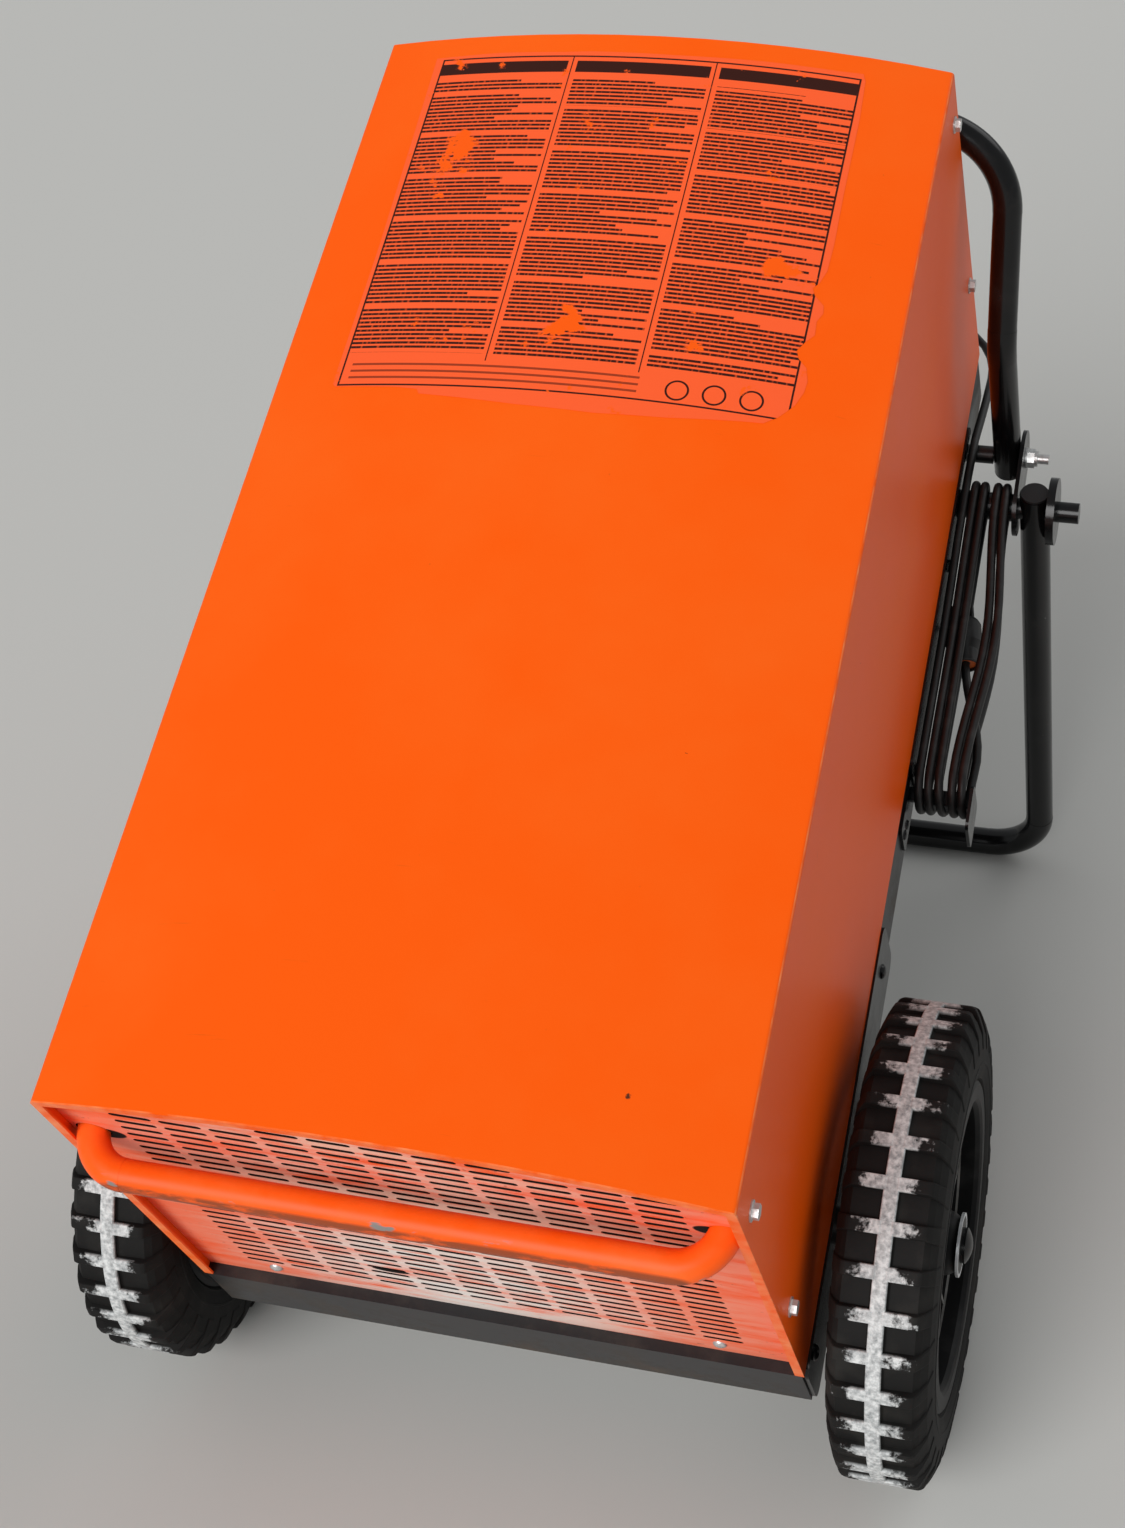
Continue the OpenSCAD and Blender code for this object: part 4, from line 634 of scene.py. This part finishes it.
dress(cord_rubber, "plug")
dress(ring_plastic, "plug_ring")
dress(fin_aluminium, "evaporator", "condenser")
dress(fan_plastic, "fan")
dress(copper, "suction_pipe", "hot_gas_pipe")
mains_cord.data.materials.append(cord_rubber)

# %% [markdown]
# The tyre is what the eye goes to first. Its carcass is one section, spun round the axle. The blocks of the tread
# are separate wedges that stand on it in a ring: each is drawn as a flat outline, thickened, and softened with
# a bevel, then copied round. An array with a curve could do the same, but a copy turned by a known angle keeps
# every block true to the axle.

# %% Helpers for meshes


def to_piece(name, mesh, body, material, smooth=True):
    """Turns a bmesh into an object that rides on a body."""
    mesh.normal_update()
    data = bpy.data.meshes.new(name)
    mesh.to_mesh(data)
    mesh.free()
    for face in data.polygons:
        face.use_smooth = smooth
    data.materials.append(material)
    piece = bpy.data.objects.new(name, data)
    bpy.context.scene.collection.objects.link(piece)
    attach(piece, body)
    return piece


def outline_edges(mesh, points):
    """Joins points in the plane of X and Z with edges, as the section of something to spin."""
    corners = [mesh.verts.new((x, 0, z)) for x, z in points]
    return [mesh.edges.new(pair) for pair in zip(corners, corners[1:])]


# %% The tyres
LUG_COUNT = 36
LUG_HALF = 5.5
LUG_SPREAD = 0.011
LUG_ROUNDING = 1.1
SEAT_R = 124.4
CROWN_R = 199.9
# Half of the section, from the bead out to the middle of the tread: across and out from the axle. It stands
# straight inside the rim's flange, which reaches 138 mm out, and has two fine moulded rings above it.
# A block is 2 x 5.5 mm thick at its crown and grows by 1.1% of that for each millimetre further in.
HALF_SECTION = [
    (30, SEAT_R), (37.1, SEAT_R), (37.1, 138.4), (39.6, 140), (40.9, 140.6), (40.9, 142.2), (41.2, 143), (42.4, 147),
    (43.3, 152), (43.9, 152.6), (43.9, 154.4), (43.4, 155), (43, 165), (41, 178), (36, 188), (31, 193), (8, 194),
    (6.8, 195), (6.2, 198.6), (5.4, 199.6), (0, 199.8),
]
LUG = [
    (4, 192), (4, CROWN_R), (29.5, CROWN_R), (33, 198.6), (36.8, 192), (41.5, 181), (43.8, 166), (40, 160), (30, 184),
]


def tyre(side, way):
    """A tyre with its tread, in place on its wheel."""
    mesh = bmesh.new()
    edges = outline_edges(mesh, HALF_SECTION + [(-x, z) for x, z in reversed(HALF_SECTION[:-1])])
    bmesh.ops.spin(mesh, geom=edges + list(mesh.verts), cent=(0, 0, 0), axis=(1, 0, 0), angle=math.tau,
                   steps=4 * LUG_COUNT, use_merge=True)
    bmesh.ops.bridge_loops(mesh, edges=[e for e in mesh.edges if e.is_boundary])
    for hand in (-1, 1):
        block = bmesh.new()
        face = block.faces.new([block.verts.new((hand * x, -LUG_HALF, z)) for x, z in LUG])
        grown = bmesh.ops.extrude_face_region(block, geom=[face])
        moved = [g for g in grown["geom"] if isinstance(g, bmesh.types.BMVert)]
        bmesh.ops.translate(block, verts=moved, vec=(0, 2 * LUG_HALF, 0))
        for vertex in block.verts:
            vertex.co.y *= 1 + (CROWN_R - vertex.co.z) * LUG_SPREAD
        bmesh.ops.recalc_face_normals(block, faces=block.faces)
        bmesh.ops.bevel(block, geom=list(block.edges), offset=LUG_ROUNDING, offset_type="OFFSET", segments=2,
                        profile=0.5, affect="EDGES", material=-1)
        pattern = bpy.data.meshes.new("block")
        block.to_mesh(pattern)
        block.free()
        for i in range(LUG_COUNT):
            start = len(mesh.verts)
            mesh.from_mesh(pattern)
            mesh.verts.ensure_lookup_table()
            bmesh.ops.rotate(mesh, verts=mesh.verts[start:], cent=(0, 0, 0),
                             matrix=Matrix.Rotation(math.tau * (i + 0.5) / LUG_COUNT, 3, "X"))
        bpy.data.meshes.remove(pattern)
    bmesh.ops.recalc_face_normals(mesh, faces=mesh.faces)
    home = Matrix.Translation((way * WHEEL_MIDDLE, AXLE_PLACE.y, AXLE_PLACE.z)) @ Matrix.Rotation(SLOPE, 4, "X")
    bmesh.ops.transform(mesh, matrix=home @ Matrix.Scale(0.001, 4), verts=mesh.verts)
    piece = to_piece("tyre_tread_" + side, mesh, "wheel_" + side, tyre_finish[side], smooth=False)
    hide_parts("tyre_" + side)
    return piece


for side, way in (("left", -1), ("right", 1)):
    made = tyre(side, way)
    print(made.name, len(made.data.polygons), "faces")

# %% [markdown]
# A printed film covers the far half of the top. Here it carries only plain ruled lines in three columns with a
# solid bar over each, a thin frame and three open rings, and its edge is torn as on a machine that has worked for
# years. It could be a mask on the housing's own coat, but a film of its own can be left off or changed by itself.
# It is a flat outline, cut into strips, and laid a quarter of a millimetre above the arched top.

# %% The torn film
ARCH_R = (HALF_WIDTH ** 2 + ARCH_RISE ** 2) / (2 * ARCH_RISE)
STRIP = 12
FILM_GAP = 0.25


def crown_up(x):
    """The height of the housing's arched top at a distance from its middle."""
    return FOLD_UP + ARCH_RISE - ARCH_R + math.sqrt(ARCH_R ** 2 - x ** 2)


# The film's outline, across and along: its far edge, then its torn right, near and left edges.
film_edge = [
    (-212, 1010), (-150, 1012.6), (-88, 1012), (-60, 1013), (20, 1012), (100, 1013.4), (168, 1013), (188, 1014),
    (191, 1006), (193, 961), (193, 880), (194, 823), (193, 794), (189, 781), (184, 774), (187, 767), (196, 758),
    (197, 750), (193, 741), (194, 727), (187, 718), (182, 709), (185, 701), (193, 693), (196, 680), (195, 669),
    (190, 655), (179, 641), (168, 633), (150, 631.5), (90, 625), (30, 621.7), (-40, 624), (-100, 628.5),
    (-126, 630.4), (-129, 635), (-150, 637), (-206, 637.8), (-209, 641), (-208, 788), (-210, 905),
]
film = bmesh.new()
film.faces.new([film.verts.new((x, y, 0)) for x, y in film_edge])
for across in range(-200, 200, STRIP):
    bmesh.ops.bisect_plane(film, geom=list(film.verts) + list(film.edges) + list(film.faces),
                           plane_co=(across, 0, 0), plane_no=(1, 0, 0))
for vertex in film.verts:
    vertex.co.z = crown_up(vertex.co.x) + FILM_GAP
bmesh.ops.scale(film, vec=(0.001, 0.001, 0.001), verts=film.verts)
bmesh.ops.transform(film, matrix=STANCE, verts=film.verts)
print("film strips:", len(film.faces))

# %% [markdown]
# The print is arithmetic on the housing's own axes. A fraction of the distance across gives the columns, and a
# fraction of the distance along gives the rows. A random number for each row ends it early, as a text line ends,
# and fine noise breaks the rows into strokes. A picture of a print would have to be drawn first, and would blur
# near by. A few flakes of the film have come away, down to the paint.

# %% Rows and columns of the print
film_vinyl, shader, spot = finish("printed_vinyl_film", "#ff6030", 0.4, gloss=0.22)
axes = axes_of(film_vinyl, spot)
ROW_PITCH = 0.0044
FOOT_PITCH = 0.0068
COLUMN_PITCH = 0.1335
FIRST_COLUMN = -0.2085
PARAGRAPH_PITCH = 0.0481
PARAGRAPH_SHIFT = 0.37

column = add(film_vinyl, "Math", {0: axes["X"], 1: 1 / COLUMN_PITCH, 2: -FIRST_COLUMN / COLUMN_PITCH},
             operation="MULTIPLY_ADD")
column_number = add(film_vinyl, "Math", {0: column}, operation="FLOOR")
column_part = add(film_vinyl, "Math", {0: column}, operation="FRACT")
row = add(film_vinyl, "Math", {0: axes["Y"], 1: ROW_PITCH}, operation="DIVIDE")
row_number = add(film_vinyl, "Math", {0: row}, operation="FLOOR")
row_part = add(film_vinyl, "Math", {0: row}, operation="FRACT")
row_key = add(film_vinyl, "CombineXYZ", {"X": column_number, "Y": row_number})
row_chance = add(film_vinyl, "TexWhiteNoise", {"Vector": row_key})
row_end = add(film_vinyl, "MapRange", {
    "Value": row_chance, "From Min": 0.0, "From Max": 0.36, "To Min": 0.45, "To Max": 0.965})
# Each column's paragraphs start a little further along than the last one's.
paragraph = add(film_vinyl, "Math", {0: axes["Y"], 1: PARAGRAPH_PITCH}, operation="DIVIDE")
paragraph = add(film_vinyl, "Math", {0: column_number, 1: PARAGRAPH_SHIFT, 2: paragraph}, operation="MULTIPLY_ADD")
paragraph_part = add(film_vinyl, "Math", {0: paragraph}, operation="FRACT")
lines = region(film_vinyl, (row_part, 0.0, 0.56), (column_part, 0.035, row_end), (paragraph_part, 0.085, 1.1),
               (axes["Y"], 0.672, 0.981))
# Strokes within a row are 2 to 4 mm long.
stroke_shift = add(film_vinyl, "Mapping", {"Vector": row_key, "Scale": (7, 13, 1)})
stroke_along = add(film_vinyl, "CombineXYZ", {
    "X": add(film_vinyl, "Math", {0: axes["X"], 1: 330.0}, operation="MULTIPLY")})
stroke_place = add(film_vinyl, "VectorMath", {0: stroke_shift, 1: stroke_along}, operation="ADD")
strokes = add(film_vinyl, "TexNoise", {"Vector": stroke_place, "Scale": 1.0, "Detail": 2.0})
stroke_ink = add(film_vinyl, "MapRange", {
    "Value": strokes, "From Min": 0.36, "From Max": 0.48, "To Min": 0.5, "To Max": 1.0})
lines = add(film_vinyl, "Math", {0: lines, 1: stroke_ink}, operation="MULTIPLY")
print("rows of the print:", len(film_vinyl.node_tree.nodes), "nodes")

# %% Frame, heads and rings of the print
# The frame line is 1.7 mm wide: what lies inside its outer edge and not inside its inner one.
inside = region(film_vinyl, (axes["X"], -0.2045, 0.1875), (axes["Y"], 0.6385, 1.0078))
core = region(film_vinyl, (axes["X"], -0.2028, 0.1858), (axes["Y"], 0.6402, 1.0061))
frame_line = add(film_vinyl, "Math", {0: inside, 1: core}, operation="SUBTRACT")
dividers = region(film_vinyl, (column_part, 0.992, 1.1), (axes["Y"], 0.666, 1.0066))
heads = region(film_vinyl, (axes["Y"], 0.988, 1.0015), (column_part, 0.03, 0.965))
foot_row = add(film_vinyl, "Math", {0: axes["Y"], 1: FOOT_PITCH}, operation="DIVIDE")
foot_part = add(film_vinyl, "Math", {0: foot_row}, operation="FRACT")
feet = region(film_vinyl, (foot_part, 0.0, 0.33), (axes["Y"], 0.6425, 0.6645), (axes["X"], -0.196, 0.06))
feet = add(film_vinyl, "Math", {0: feet, 1: 0.7}, operation="MULTIPLY")
print_mask = lines
for mark in (frame_line, dividers, heads, feet):
    print_mask = add(film_vinyl, "Math", {0: print_mask, 1: mark}, operation="MAXIMUM")
print_mask = add(film_vinyl, "Math", {0: print_mask, 1: inside}, operation="MULTIPLY")
flat_place = add(film_vinyl, "CombineXYZ", {"X": axes["X"], "Y": axes["Y"]})
for ring_x in (0.093, 0.124, 0.155):
    ring_far = add(film_vinyl, "VectorMath", {0: flat_place, 1: (ring_x, 0.6525, 0)}, operation="DISTANCE")
    ring = region(film_vinyl, (ring_far.outputs["Value"], 0.0083, 0.0101))
    print_mask = add(film_vinyl, "Math", {0: print_mask, 1: ring}, operation="MAXIMUM")
print("with frame, heads and rings:", len(film_vinyl.node_tree.nodes), "nodes")

# %% Flaked film and the finished piece
# Flakes are 10 to 30 mm wide. Three patches, 20 to 50 mm wide, were scratched away.
flaking = add(film_vinyl, "TexNoise", {"Vector": spot, "Scale": 30.0, "Detail": 8.0, "Roughness": 0.7})
for patch_x, patch_y, patch_size in ((-0.163, 0.885, 0.036), (0.155, 0.79, 0.02), (-0.01, 0.712, 0.026)):
    patch_far = add(film_vinyl, "VectorMath", {0: flat_place, 1: (patch_x, patch_y, 0)}, operation="DISTANCE")
    patch = add(film_vinyl, "MapRange", {
        "Value": patch_far.outputs["Value"], "From Min": patch_size, "From Max": patch_size / 5, "To Max": 0.2})
    flaking = add(film_vinyl, "Math", {0: flaking, 1: patch}, operation="SUBTRACT")
kept = add(film_vinyl, "MapRange", {"Value": flaking, "From Min": 0.34, "From Max": 0.37})
print_mask = add(film_vinyl, "Math", {0: print_mask, 1: kept}, operation="MULTIPLY")
ink = add(film_vinyl, "Math", {0: print_mask, 1: 0.97}, operation="MULTIPLY")
tone = add(film_vinyl, "Mix", {"Factor": kept, "A": linear("#ff5c00"), "B": linear("#ff602d")}, data_type="RGBA")
add(film_vinyl, "Mix", {"Factor": ink, "A": tone, "B": linear("#160906")}, shader.inputs["Base Color"],
    data_type="RGBA")
film_piece = to_piece("printed_film", film, "root", film_vinyl)
print(film_vinyl.name, "has", len(film_vinyl.node_tree.nodes), "nodes; film faces:", len(film_piece.data.polygons))
